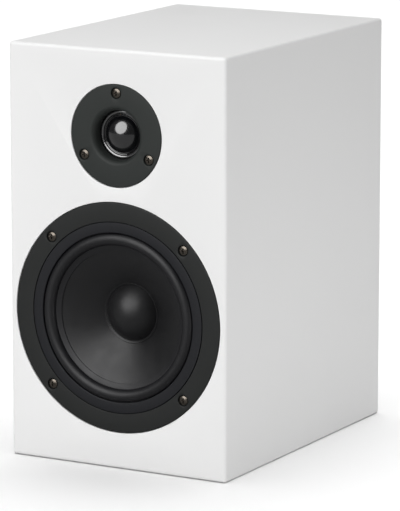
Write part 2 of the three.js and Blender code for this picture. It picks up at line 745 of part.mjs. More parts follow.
function terminalCup() {
  const { width, tall, flangeThick, corner, pocketWidth, pocketTall, pocketDepth, wall } = CUP;
  const flange = slab(roundedRectangle(width, tall, corner), flangeThick).translate(0, REAR - flangeThick, 0);
  const bodyDepth = pocketDepth + wall;
  const body = box(pocketWidth + 2 * wall, bodyDepth, pocketTall + 2 * wall, 0, REAR - bodyDepth / 2, 0);
  const pocket = slab(roundedRectangle(pocketWidth, pocketTall, corner - wall), pocketDepth + 1)
    .translate(0, CUP_FLOOR, 0);
  const holes = POST_PLACES.map(([, x]) => disc(POST.stud + GAP, CUP_FLOOR - 2 * wall, REAR, ROUND.screw)
    .translate(x, 0, 0));
  const seats = CUP_SCREWS.map(([x, z]) => screwSeat(x, z, 3 * flangeThick)
    .applyMatrix4(new THREE.Matrix4().makeRotationZ(Math.PI)).translate(2 * x, REAR, 0));
  const mesh = piece("terminal_cup", cut(joined(flange, body), pocket, ...holes, ...seats), FINISH.abs);
  return placed(mesh, 0, 0, CUP.height);
}

function cupScrews() {
  return CUP_SCREWS.map(([x, z], i) => {
    const screw = crossHeadScrew(`terminal_cup_screw_${i + 1}`);
    screw.rotation.z = Math.PI;
    return placed(screw, x, REAR - SCREW_TOP, CUP.height + z);
  });
}

// the metal stud: a shoulder inside the cup's floor, a plug socket in its outer end, a wire hole across it
function bindingStud(name, x) {
  const { stud, socket, socketDepth } = POST;
  const shoulderLength = 3;
  const wide = stud + 2;
  const inner = BOARD_REAR - 2 * BOARD.thick;
  const outer = KNOB_START + KNOB.length - 1;
  const shoulder = CUP_FLOOR - CUP.wall - GAP;
  const profile = [
    [0, inner], [stud, inner], [stud, shoulder - shoulderLength], [wide, shoulder - shoulderLength],
    [wide, shoulder],
    [stud, shoulder], [stud, outer], [socket, outer], [socket, outer - socketDepth],
    [0, outer - socketDepth],
  ];
  const wireHole = 1; // its radius
  const across = new THREE.CylinderGeometry(wireHole, wireHole, 4 * stud, 8).rotateX(Math.PI / 2)
    .translate(0, KNOB_START + 1.5 * wireHole, 0);
  const body = cut(turned(profile, ROUND.small), across);
  return placed(piece(name, body, FINISH.gold), x, 0, CUP.height);
}

function bindingKnob(name, x, finishOfKnob) {
  const { radius, length, flutes, fluteDepth, bore } = KNOB;
  const grip = new THREE.Shape();
  const corners = steps(0, 2 * Math.PI, 4 * flutes).slice(0, -1);
  corners.forEach((turn, i) => {
    const reach = i % 4 < 2 ? radius : radius - fluteDepth;
    const to = i === 0 ? "moveTo" : "lineTo";
    grip[to](reach * Math.cos(turn), reach * Math.sin(turn));
  });
  const body = cut(slab(grip, length), disc(bore, -1, length + 1, ROUND.small));
  return placed(piece(name, body, finishOfKnob), x, KNOB_START, CUP.height);
}

function bindingPosts() {
  const { stud, collar, collarThick, washer, washerThick } = POST;
  return POST_PLACES.flatMap(([side, x], i) => {
    const tint = [FINISH.red, FINISH.black][i];
    const base = ring(stud + GAP, collar, CUP_FLOOR + GAP, POST_COLLAR_END, ROUND.small);
    const plate = ring(stud + GAP, washer, WASHER_START, WASHER_START + washerThick, ROUND.small);
    return [
      bindingStud(`terminal_stud_${side}`, x),
      placed(piece(`terminal_collar_${side}`, base, tint), x, 0, CUP.height),
      placed(piece(`terminal_washer_${side}`, plate, FINISH.gold), x, 0, CUP.height),
      bindingKnob(`terminal_knob_${side}`, x, tint),
    ];
  });
}

// ---- crossover -------------------------------------------------------------------------------------

const BOARD_FRONT = BOARD_REAR - BOARD.thick;
const COILS = [
  { name: "crossover_inductor_large", x: -20, z: -21, radius: 16, core: 7, length: 16 },
  { name: "crossover_inductor_small", x: 20, z: -21, radius: 12, core: 5, length: 12 },
];
const CANS = [
  { name: "crossover_capacitor_large", x: 19, z: 16, radius: 7, length: 32, tint: FINISH.film },
  { name: "crossover_capacitor_small", x: -20, z: 13, radius: 5, length: 24, tint: FINISH.can },
];
const RESISTOR = { x: -16, z: 26, length: 36, side: 9 };

function crossover() {
  const group = new THREE.Group();
  group.position.set(0, 0, CUP.height);
  const board = box(BOARD.width, BOARD.thick, BOARD.tall, 0, BOARD_REAR - BOARD.thick / 2, 0);
  const holes = POST_PLACES.map(([, x]) => disc(POST.stud + GAP, BOARD_FRONT - 1, BOARD_REAR + 1, ROUND.screw)
    .translate(x, 0, 0));
  group.add(piece("crossover_board", cut(board, ...holes), FINISH.board));
  for (const { name, x, z, radius, core, length } of COILS) {
    const winding = ring(core, radius, -length, 0, ROUND.small);
    group.add(placed(piece(name, winding, FINISH.copper), x, BOARD_FRONT - GAP, z));
  }
  for (const { name, x, z, radius, length, tint } of CANS) {
    const can = turned([[0, 0], [radius - 1, 0], [radius, 1], [radius, length - 1], [radius - 1, length],
      [0, length]], ROUND.small).rotateZ(Math.PI / 2).translate(length / 2, 0, 0);
    group.add(placed(piece(name, can, tint), x, BOARD_FRONT - GAP - radius, z));
  }
  const { x, z, length, side } = RESISTOR;
  const brick = box(length, side, side, x, BOARD_FRONT - GAP - side / 2, z);
  group.add(piece("crossover_resistor", brick, FINISH.ceramic));
  return group;
}

// ---- wiring ----------------------------------------------------------------------------------------

const WOOFER_CABLE_ROUTE = [
  [14, 66, 110], [14, 57, 112], [8, 38, 118], [-6, 8, 140], [-14, -30, 158], [-8, -54, 157], [0, -66, 151],
];
const TWEETER_CABLE_ROUTE = [
  [28, 66, 110], [28, 57, 112], [34, 38, 124], [38, 0, 150], [24, -40, 172], [8, -68, 183], [0, -82, 185.5],
];

function wiring() {
  const { radius, sides, steps: rings } = CABLE;
  return [
    piece("woofer_cable", tube(WOOFER_CABLE_ROUTE, radius, sides, rings), FINISH.wire),
    piece("tweeter_cable", tube(TWEETER_CABLE_ROUTE, radius, sides, rings), FINISH.wire),
  ];
}

// ---- the whole speaker -----------------------------------------------------------------------------

const speaker = new THREE.Group();
speaker.add(frontBaffle(), rearPanel(), ...shellPanels(), dampingFleece());
speaker.add(woofer(), tweeter(), portTube());
speaker.add(terminalCup(), ...cupScrews(), ...bindingPosts());
speaker.add(crossover(), ...wiring());

export default speaker;
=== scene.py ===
"""A two-way bookshelf speaker: the surfaces, finishes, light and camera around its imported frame.

Sizes are in millimetres, and depths count from the baffle's front plane towards the rear. MM turns them into
metres.
"""

import json
import logging
import math
from dataclasses import dataclass, field
from enum import Enum
from functools import cache

import bmesh
import bpy
import numpy as np
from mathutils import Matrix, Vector
from numpy.typing import NDArray


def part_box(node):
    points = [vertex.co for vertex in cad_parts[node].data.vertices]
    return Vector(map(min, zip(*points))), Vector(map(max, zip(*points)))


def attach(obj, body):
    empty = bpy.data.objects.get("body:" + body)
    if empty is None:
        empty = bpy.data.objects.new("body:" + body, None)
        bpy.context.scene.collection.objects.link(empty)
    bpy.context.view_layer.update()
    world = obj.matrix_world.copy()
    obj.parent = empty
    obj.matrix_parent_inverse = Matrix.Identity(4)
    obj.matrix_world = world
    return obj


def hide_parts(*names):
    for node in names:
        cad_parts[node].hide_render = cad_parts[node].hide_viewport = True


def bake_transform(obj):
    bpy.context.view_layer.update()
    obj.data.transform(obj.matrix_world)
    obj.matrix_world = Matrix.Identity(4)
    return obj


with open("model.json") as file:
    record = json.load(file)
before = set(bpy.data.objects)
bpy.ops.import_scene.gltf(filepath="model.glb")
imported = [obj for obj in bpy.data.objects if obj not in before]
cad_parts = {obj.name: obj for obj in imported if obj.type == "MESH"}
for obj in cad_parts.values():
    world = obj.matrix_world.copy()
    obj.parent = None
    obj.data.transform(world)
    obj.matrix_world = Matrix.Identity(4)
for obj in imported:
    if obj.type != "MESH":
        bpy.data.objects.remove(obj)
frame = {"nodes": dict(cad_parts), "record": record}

MM = 0.001
SAME_PLACE = 0.0005
LOG = logging.getLogger("speaker")
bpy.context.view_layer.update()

Floats = NDArray[np.float64]
Rgb = tuple[float, float, float]
Corner = tuple[float, float, float]


class Body(Enum):
    """The rigid bodies that pieces ride on."""

    SPEAKER = "speaker"
    WOOFER = "woofer_moving"
    TWEETER = "tweeter_moving"
    LEFT_WASHER = "washer_left"
    LEFT_KNOB = "knob_left"
    RIGHT_WASHER = "washer_right"
    RIGHT_KNOB = "knob_right"


class Grain(Enum):
    """How a finish's small relief is laid out."""

    PEEL = "soft bumps, as in sprayed paint"
    SPARK = "fine irregular pits, as in a spark-eroded mould"
    RINGS = "grooves round the axis, as left by turning or moulding"
    TURNS = "ridges along the axis, as in a winding"
    WEAVE = "crossing threads"


# ---- finishes --------------------------------------------------------------------------------------


class Graph:
    """A material's nodes, with short ways to add and join them."""

    def __init__(self, name: str) -> None:
        """Starts an empty material with its output and shader.

        Args:
            name: the material's name.
        """
        self.material = bpy.data.materials.new(name)
        self.material.use_nodes = True
        self.tree = self.material.node_tree
        self.tree.nodes.clear()
        self.shader = self.add("ShaderNodeBsdfPrincipled")
        output = self.add("ShaderNodeOutputMaterial")
        self.join(self.shader.outputs["BSDF"], output.inputs["Surface"])
        self.place = self.add("ShaderNodeTexCoord").outputs["Object"]

    def add(self, kind: str, **settings: object) -> bpy.types.Node:
        """Adds a node.

        Args:
            kind: the node's type name.
            settings: attributes to set on it.

        Returns:
            The node.
        """
        node = self.tree.nodes.new(kind)
        for key, value in settings.items():
            setattr(node, key, value)
        return node

    def join(self, source: bpy.types.NodeSocket, target: bpy.types.NodeSocket) -> None:
        """Links an output to an input."""
        self.tree.links.new(source, target)

    def noise(self, size: float, detail: float = 2.0) -> bpy.types.NodeSocket:
        """Adds a noise whose patches are about size apart.

        Args:
            size: the patches' spacing in millimetres.
            detail: the number of finer octaves.

        Returns:
            The noise's value, from 0 to 1.
        """
        node = self.add("ShaderNodeTexNoise")
        self.join(self.place, node.inputs["Vector"])
        node.inputs["Scale"].default_value = 1 / (size * MM)
        node.inputs["Detail"].default_value = detail
        return node.outputs["Fac"]

    def wave(self, kind: str, direction: str, pitch: float, centre: Corner) -> bpy.types.NodeSocket:
        """Adds evenly spaced bands or rings.

        Args:
            kind: BANDS or RINGS.
            direction: the axis that bands cross or rings go round.
            pitch: their spacing in millimetres.
            centre: a point on the rings' axis, in millimetres.

        Returns:
            The wave's value, from 0 to 1.
        """
        node = self.add("ShaderNodeTexWave", wave_type=kind, wave_profile="SIN")
        setattr(node, "bands_direction" if kind == "BANDS" else "rings_direction", direction)
        shift = self.add("ShaderNodeMapping")
        shift.inputs["Location"].default_value = [-value * MM for value in centre]
        self.join(self.place, shift.inputs["Vector"])
        self.join(shift.outputs["Vector"], node.inputs["Vector"])
        wave_numbers = 20  # the wave node's own factor on its coordinate
        node.inputs["Scale"].default_value = 2 * math.pi / (wave_numbers * pitch * MM)
        return node.outputs["Fac"]

    def spread(self, source: bpy.types.NodeSocket, low: float, high: float) -> bpy.types.NodeSocket:
        """Stretches the middle of a noise over a range.

        Args:
            source: a value from 0 to 1.
            low: the result where the source is 0.3 or less.
            high: the result where the source is 0.7 or more.

        Returns:
            The stretched value.
        """
        node = self.add("ShaderNodeMapRange")
        self.join(source, node.inputs["Value"])
        for name, value in (("From Min", 0.3), ("From Max", 0.7), ("To Min", low), ("To Max", high)):
            node.inputs[name].default_value = value
        return node.outputs["Result"]

    def mix(self, factor: bpy.types.NodeSocket, low: Rgb, high: Rgb) -> bpy.types.NodeSocket:
        """Mixes two colours.

        Args:
            factor: the share of the second colour, from 0 to 1.
            low: the first colour.
            high: the second colour.

        Returns:
            The mixed colour.
        """
        node = self.add("ShaderNodeMix", data_type="RGBA")
        self.join(factor, node.inputs["Factor"])
        node.inputs["A"].default_value = (*low, 1)
        node.inputs["B"].default_value = (*high, 1)
        return node.outputs["Result"]

    def product(self, first: bpy.types.NodeSocket, second: bpy.types.NodeSocket) -> bpy.types.NodeSocket:
        """Multiplies two values.

        Args:
            first: one value.
            second: the other.

        Returns:
            The product.
        """
        node = self.add("ShaderNodeMath", operation="MULTIPLY")
        self.join(first, node.inputs[0])
        self.join(second, node.inputs[1])
        return node.outputs[0]


@dataclass(frozen=True)
class Finish:
    """A surface finish: its colour, its polish and its small relief. Lengths are in millimetres."""

    name: str
    slot: str
    colour: Rgb
    roughness: float
    metallic: float = 0.0
    specular: float = 0.5
    coat: float = 0.0
    coat_roughness: float = 0.1
    coat_ior: float = 1.5
    sheen: float = 0.0
    patch: float = 25.0
    tone_spread: float = 0.05
    polish_spread: float = 0.05
    grain: Grain = Grain.SPARK
    grain_size: float = 0.35
    grain_depth: float = 0.01
    centre: Corner = (0.0, 0.0, 0.0)

    def relief(self, graph: Graph) -> bpy.types.NodeSocket:
        """Adds the finish's relief pattern.

        Args:
            graph: the material's nodes.

        Returns:
            The pattern's height, from 0 to 1.
        """
        if self.grain is Grain.RINGS:
            return graph.wave("RINGS", "Y", self.grain_size, self.centre)
        if self.grain is Grain.TURNS:
            return graph.wave("BANDS", "Y", self.grain_size, self.centre)
        if self.grain is Grain.WEAVE:
            warp = graph.wave("BANDS", "X", self.grain_size, self.centre)
            weft = graph.wave("BANDS", "Z", self.grain_size, self.centre)
            return graph.product(warp, weft)
        return graph.noise(self.grain_size, 1.0 if self.grain is Grain.PEEL else 4.0)

    @cache
    def material(self) -> bpy.types.Material:
        """Builds the finish as a node material, once.

        Returns:
            The material.
        """
        graph = Graph(self.name)
        shader = graph.shader
        constants = {
            "Metallic": self.metallic, "Specular IOR Level": self.specular, "Coat Weight": self.coat,
            "Coat Roughness": self.coat_roughness, "Coat IOR": self.coat_ior, "Sheen Weight": self.sheen,
        }
        for key, value in constants.items():
            shader.inputs[key].default_value = value
        patches = graph.noise(self.patch, 3.0)
        dark, light = (tuple(min(1.0, part * (1 + sign * self.tone_spread)) for part in self.colour)
                       for sign in (-1, 1))
        graph.join(graph.mix(patches, dark, light), shader.inputs["Base Color"])
        smudges = graph.noise(self.patch / 3, 4.0)
        rough, spread = self.roughness, self.polish_spread
        polish = graph.spread(smudges, rough - spread, rough + spread)
        graph.join(polish, shader.inputs["Roughness"])
        bump = graph.add("ShaderNodeBump")
        bump.inputs["Strength"].default_value = 1.0
        bump.inputs["Distance"].default_value = self.grain_depth * MM
        graph.join(self.relief(graph), bump.inputs["Height"])
        graph.join(bump.outputs["Normal"], shader.inputs["Normal"])
        return graph.material


WHITE_PAINT = Finish("satin_white_paint", "cabinet_paint", (0.84, 0.84, 0.838), 0.45, specular=0.35, coat=0.1,
                     coat_roughness=0.3, patch=90, tone_spread=0.006, polish_spread=0.02, grain=Grain.PEEL,
                     grain_size=1.6, grain_depth=0.004)
TRIM = Finish("matte_trim", "trim_black", (0.013, 0.014, 0.0135), 0.55, specular=0.20, grain_size=0.3,
              grain_depth=0.012)
FACEPLATE = Finish("matte_faceplate", "faceplate_grey", (0.020, 0.023, 0.0215), 0.58, specular=0.20,
                   grain_size=0.3, grain_depth=0.012)
GASKET = Finish("gasket_rubber", "gasket_rubber", (0.0075, 0.0080, 0.0103), 0.55, specular=0.21,
                grain_size=0.5, grain_depth=0.008)
ROLL = Finish("surround_rubber", "surround_rubber", (0.008, 0.008, 0.0094), 0.46, specular=0.29,
              grain_size=0.6, grain_depth=0.006)
DIAPHRAGM = Finish("moulded_cone", "diaphragm_black", (0.010, 0.010, 0.0108), 0.42, specular=0.27,
                   grain_size=0.5, grain_depth=0.006)
TWEETER_ROLL = Finish("glossy_roll", "silk_black", (0.006, 0.006, 0.007), 0.30, specular=0.5, coat=1.0,
                      coat_ior=1.9, coat_roughness=0.08, grain_size=0.6, grain_depth=0.001)
DOME = Finish("coated_silk", "silk_black", (0.003, 0.003, 0.004), 0.20, specular=0.4, coat=1.0, coat_ior=1.6,
              coat_roughness=0.09, grain=Grain.WEAVE, grain_size=0.35, grain_depth=0.0015, polish_spread=0.02)
SCREW = Finish("black_zinc_screw", "screw_black", (0.10, 0.088, 0.075), 0.28, metallic=1.0, patch=3,
               tone_spread=0.2, grain_size=0.4, grain_depth=0.004)
MOULDED = Finish("moulded_black", "moulded_black", (0.012, 0.012, 0.012), 0.45, grain_size=0.4,
                 grain_depth=0.012)
GOLD = Finish("gold_plate", "terminal_gold", (0.75, 0.47, 0.16), 0.16, metallic=1.0, patch=6,
              tone_spread=0.04, grain_size=0.3, grain_depth=0.001)
KNOB_RED = Finish("clear_red_knob", "knob_red", (0.38, 0.010, 0.012), 0.18, coat=0.4, patch=8,
                  grain_size=0.5, grain_depth=0.002)
KNOB_BLACK = Finish("clear_black_knob", "knob_black", (0.008, 0.008, 0.008), 0.18, coat=0.4, patch=8,
                    grain_size=0.5, grain_depth=0.002)
FLEECE = Finish("polyester_fleece", "fleece", (0.70, 0.70, 0.66), 0.95, specular=0.1, sheen=0.6,
                grain_size=1.2, grain_depth=0.25)
SPIDER_CLOTH = Finish("resin_dipped_cloth", "spider_cloth", (0.42, 0.24, 0.06), 0.85, specular=0.2,
                      grain=Grain.WEAVE, grain_size=0.6, grain_depth=0.05)
TINSEL = Finish("tinsel_braid", "tinsel", (0.50, 0.26, 0.12), 0.42, metallic=0.9, grain=Grain.WEAVE,
                grain_size=0.5, grain_depth=0.05)
INSIDE_FINISHES = [
    Finish("zinc_plated_steel", "zinc_plate", (0.46, 0.47, 0.48), 0.34, metallic=1.0, grain_size=0.4,
           grain_depth=0.004),
    Finish("nickel_plated_magnet", "magnet_steel", (0.50, 0.50, 0.50), 0.28, metallic=1.0, grain_size=0.5,
           grain_depth=0.003),
    Finish("turned_steel", "motor_steel", (0.27, 0.28, 0.29), 0.36, metallic=1.0, grain=Grain.RINGS,
           grain_size=0.25, grain_depth=0.004),
    Finish("sintered_ferrite", "ferrite", (0.025, 0.025, 0.027), 0.7, grain_size=0.25, grain_depth=0.03),
    Finish("seal_foam", "seal_foam", (0.014, 0.014, 0.014), 0.95, specular=0.1, grain_size=0.6,
           grain_depth=0.12),
    Finish("enamelled_winding", "coil_copper", (0.60, 0.22, 0.08), 0.28, metallic=0.9, coat=0.6,
           grain=Grain.TURNS, grain_size=0.5, grain_depth=0.06),
    Finish("green_board", "board", (0.018, 0.10, 0.035), 0.35, coat=0.3, grain=Grain.WEAVE, grain_size=0.5,
           grain_depth=0.004),
    Finish("yellow_film_wrap", "capacitor_film", (0.62, 0.42, 0.03), 0.32, coat=0.5, grain_size=1.5,
           grain_depth=0.02),
    Finish("blue_can_sleeve", "capacitor_can", (0.015, 0.045, 0.15), 0.3, coat=0.5, grain_size=1.5,
           grain_depth=0.02),
    Finish("fired_ceramic", "resistor_ceramic", (0.70, 0.67, 0.58), 0.85, grain_size=0.4, grain_depth=0.04),
    Finish("cable_jacket", "cable_black", (0.010, 0.010, 0.010), 0.42, grain_size=0.8, grain_depth=0.01),
    MOULDED,
]


# ---- surfaces --------------------------------------------------------------------------------------


def skin(name: str, loops: Floats, ring: bool = False, sharp: float = 32.0) -> bpy.types.Object:
    """Covers a stack of closed loops with quads, as one surface of two parameters.

    Point (i, j) is the j-th point of the i-th loop. Each loop closes on itself. A loop of no size closes an
    end, and its points are merged into one.

    Args:
        name: the object's name.
        loops: points in millimetres, as rows by columns by 3.
        ring: whether the last loop joins the first one too.
        sharp: the angle in degrees from which an edge stays crisp.

    Returns:
        The object, with its place in its mesh.
    """
    rows, columns, _ = loops.shape
    i, j = np.meshgrid(np.arange(rows if ring else rows - 1), np.arange(columns), indexing="ij")
    below, beside = (i + 1) % rows, (j + 1) % columns
    here, under = i * columns, below * columns
    quads = np.stack([here + j, here + beside, under + beside, under + j], -1).reshape(-1, 4)
    mesh = bpy.data.meshes.new(name)
    mesh.vertices.add(rows * columns)
    mesh.vertices.foreach_set("co", (loops * MM).astype(np.float32).ravel())
    mesh.loops.add(quads.size)
    mesh.loops.foreach_set("vertex_index", quads.astype(np.int32).ravel())
    mesh.polygons.add(len(quads))
    mesh.polygons.foreach_set("loop_start", np.arange(0, quads.size, 4, dtype=np.int32))
    mesh.update(calc_edges=True)
    piece = bpy.data.objects.new(name, mesh)
    bpy.context.scene.collection.objects.link(piece)
    return tidied(piece, sharp)


def capped(loops: Floats | list[Floats]) -> Floats:
    """Closes both ends of a stack of loops: a loop shrunk to its own middle goes before and after it."""
    ends = [np.broadcast_to(loop.mean(0), loop.shape) for loop in (loops[0], loops[-1])]
    return np.array([ends[0], *loops, ends[1]])


def tidied(piece: bpy.types.Object, sharp: float, turn_out: bool = True) -> bpy.types.Object:
    """Merges doubled points, turns the faces outwards and smooths all but the crisp edges.

    Args:
        piece: a closed mesh object.
        sharp: the angle in degrees from which an edge stays crisp.
        turn_out: whether to turn the faces; a cut solid's faces are right already.

    Returns:
        The same object.
    """
    shape = bmesh.new()
    shape.from_mesh(piece.data)
    bmesh.ops.remove_doubles(shape, verts=shape.verts, dist=SAME_PLACE * MM)
    bmesh.ops.dissolve_degenerate(shape, edges=shape.edges, dist=SAME_PLACE * MM)
    if turn_out:
        bmesh.ops.recalc_face_normals(shape, faces=shape.faces)
    shape.to_mesh(piece.data)
    shape.free()
    piece.data.polygons.foreach_set("use_smooth", np.ones(len(piece.data.polygons), bool))
    piece.data.set_sharp_from_angle(angle=math.radians(sharp))
    return piece


def circle(count: int) -> Floats:
    """Returns a unit circle of count points as x and z pairs: the cosine and the sine of even angles."""
    turn = np.linspace(0, 2 * np.pi, count, endpoint=False)
    return np.stack([np.cos(turn), np.sin(turn)], -1)


def carried(name: str, outline: Floats, profile: Floats, centre: Floats, ring: bool = True,
            sharp: float = 32.0) -> bpy.types.Object:
    """Carries an outline along Y: each profile point scales it and sets its depth.

    The point is centre + (scale * outline x, depth, scale * outline z).

    Args:
        name: the object's name.
        outline: x and z pairs about the axis.
        profile: scale and depth pairs in millimetres.
        centre: where the axis and depth 0 are, in millimetres.
        ring: whether the profile closes on itself.
        sharp: the angle in degrees from which an edge stays crisp.

    Returns:
        The object.
    """
    scale, depth = profile[:, 0], profile[:, 1]
    loops = np.empty((len(profile), len(outline), 3))
    loops[..., 0] = scale[:, None] * outline[None, :, 0]
    loops[..., 1] = depth[:, None]
    loops[..., 2] = scale[:, None] * outline[None, :, 1]
    return skin(name, loops + centre, ring, sharp)


def rounded(corners: list[Corner], count: int = 5, closed: bool = True) -> Floats:
    """Rounds the corners of an outline with arcs.

    Each corner is (u, v, radius). Its arc touches both sides: it starts and ends radius / tan(half the
    corner's angle) from the corner, and its points turn evenly about the arc's centre.

    Args:
        corners: the outline's corners in order, with the radius of each; 0 keeps it crisp.
        count: the number of steps in each arc.
        closed: whether the last corner joins the first.

    Returns:
        The outline's points as pairs.
    """
    places = np.array(corners, float)
    pieces = []
    for index, (u, v, radius) in enumerate(places):
        here = np.array([u, v])
        at_end = not closed and index in (0, len(places) - 1)
        if radius <= 0 or at_end:
            pieces.append(here[None])
            continue
        back = places[index - 1, :2] - here
        ahead = places[(index + 1) % len(places), :2] - here
        back, ahead = back / np.linalg.norm(back), ahead / np.linalg.norm(ahead)
        half = math.acos(float(np.clip(back @ ahead, -1, 1))) / 2
        middle = here + (back + ahead) / np.linalg.norm(back + ahead) * radius / math.sin(half)
        first = here + back * radius / math.tan(half) - middle
        last = here + ahead * radius / math.tan(half) - middle
        sweep = math.pi - 2 * half
        way = np.linspace(0, 1, count + 1)[:, None]
        arc = np.sin((1 - way) * sweep) * first + np.sin(way * sweep) * last
        pieces.append(middle + arc / math.sin(sweep))
    return np.concatenate(pieces)


def rounded_rectangle(width: float, height: float, radius: float, count: int = 8) -> Floats:
    """Returns a rectangle about the origin with rounded corners, as x and z pairs."""
    x, z = width / 2, height / 2
    return rounded([(-x, -z, radius), (x, -z, radius), (x, z, radius), (-x, z, radius)], count)


def joined(pieces: list[bpy.types.Object], name: str) -> bpy.types.Object:
    """Joins separate solids into one object.

    Args:
        pieces: objects whose places are in their meshes; they are removed.
        name: the joined object's name.

    Returns:
        The joined object.
    """
    shape = bmesh.new()
    for piece in pieces:
        shape.from_mesh(piece.data)
        bpy.data.objects.remove(piece)
    mesh = bpy.data.meshes.new(name)
    shape.to_mesh(mesh)
    shape.free()
    whole = bpy.data.objects.new(name, mesh)
    bpy.context.scene.collection.objects.link(whole)
    return whole


def carved(piece: bpy.types.Object, tools: list[bpy.types.Object], sharp: float = 32.0) -> bpy.types.Object:
    """Cuts tools out of a piece and removes them.

    Args:
        piece: the closed solid to cut.
        tools: closed solids that don't touch each other.
        sharp: the angle in degrees from which an edge stays crisp.

    Returns:
        The cut piece.
    """
    tool = joined(tools, "carving_tool")
    cut = piece.modifiers.new("carve", "BOOLEAN")
    cut.operation = "DIFFERENCE"
    cut.solver = "EXACT"
    cut.object = tool
    view = bpy.context.evaluated_depsgraph_get()
    mesh = bpy.data.meshes.new_from_object(piece.evaluated_get(view))
    mesh.name = piece.name
    piece.modifiers.clear()
    piece.data = mesh
    bpy.data.objects.remove(tool)
    return tidied(piece, sharp, turn_out=False)


def dressed(piece: bpy.types.Object, finish: Finish, body: Body, *nodes: str) -> bpy.types.Object:
    """Gives a piece its finish and its body, and hides the CAD nodes that it replaces.

    Args:
        piece: the piece.
        finish: its finish.
        body: the body that it rides on.
        nodes: the CAD nodes that it replaces.

    Returns:
        The piece.
    """
    piece.data.materials.clear()
    piece.data.materials.append(finish.material())
    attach(piece, body.value)
    if nodes:
        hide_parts(*nodes)
    LOG.info("%s: %d faces on %s", piece.name, len(piece.data.polygons), body.value)
    return piece


def flexed(piece: bpy.types.Object, finish: Finish, body: Body, ends: tuple[Floats, Floats],
           *nodes: str) -> bpy.types.Object:
    """Gives its finish to a piece that sits between the cabinet and a moving body, bakes its place into its
    mesh and hides the CAD nodes that it replaces. It is not attached to the moving body and is not bent.

    Args:
        piece: the piece.
        finish: its finish.
        body: the moving body; not used.
        ends: the points in millimetres where the bend starts and where it has ended; not used.
        nodes: the CAD nodes that it replaces.

    Returns:
        The piece.
    """
    piece.data.materials.append(finish.material())
    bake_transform(piece)
    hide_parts(*nodes)
    LOG.info("%s: %d faces between two bodies", piece.name, len(piece.data.polygons))
    return piece


def bend_by_radius(piece: bpy.types.Object) -> None:
    """Reads the points of a round piece and changes nothing.

    Args:
        piece: a piece that has been flexed.
    """
    co = np.empty(len(piece.data.vertices) * 3, np.float32)
    piece.data.vertices.foreach_get("co", co)


def box_mm(node: str) -> tuple[Floats, Floats]:
    """Returns a CAD node's lowest and highest corners in millimetres."""
    low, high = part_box(node)
    return np.array(low) / MM, np.array(high) / MM


def size_mm(node: str) -> Floats:
    """Returns a CAD node's width, depth and height in millimetres."""
    low, high = box_mm(node)
    return high - low


def middle_at(node: str, y: float) -> Floats:
    """Returns the point at depth y that lies straight before or behind a CAD node's middle."""
    low, high = box_mm(node)
    return np.array([(low[0] + high[0]) / 2, y, (low[2] + high[2]) / 2])


def axis_of(node: str) -> Floats:
    """Returns the point where the axis of a round node crosses the baffle's front plane, in millimetres."""
    middle = middle_at(node, 0.0)
    return np.array([round(middle[0], 2), box_mm("front_baffle")[0][1], round(middle[2], 2)])


def front_low_corner() -> Floats:
    """Returns the carcass's lowest corner in millimetres: a side panel's, brought forward to the baffle."""
    side, baffle = box_mm("left_side_panel")[0], box_mm("front_baffle")[0]
    return np.array([side[0], baffle[1], side[2]])


# ---- screws ----------------------------------------------------------------------------------------


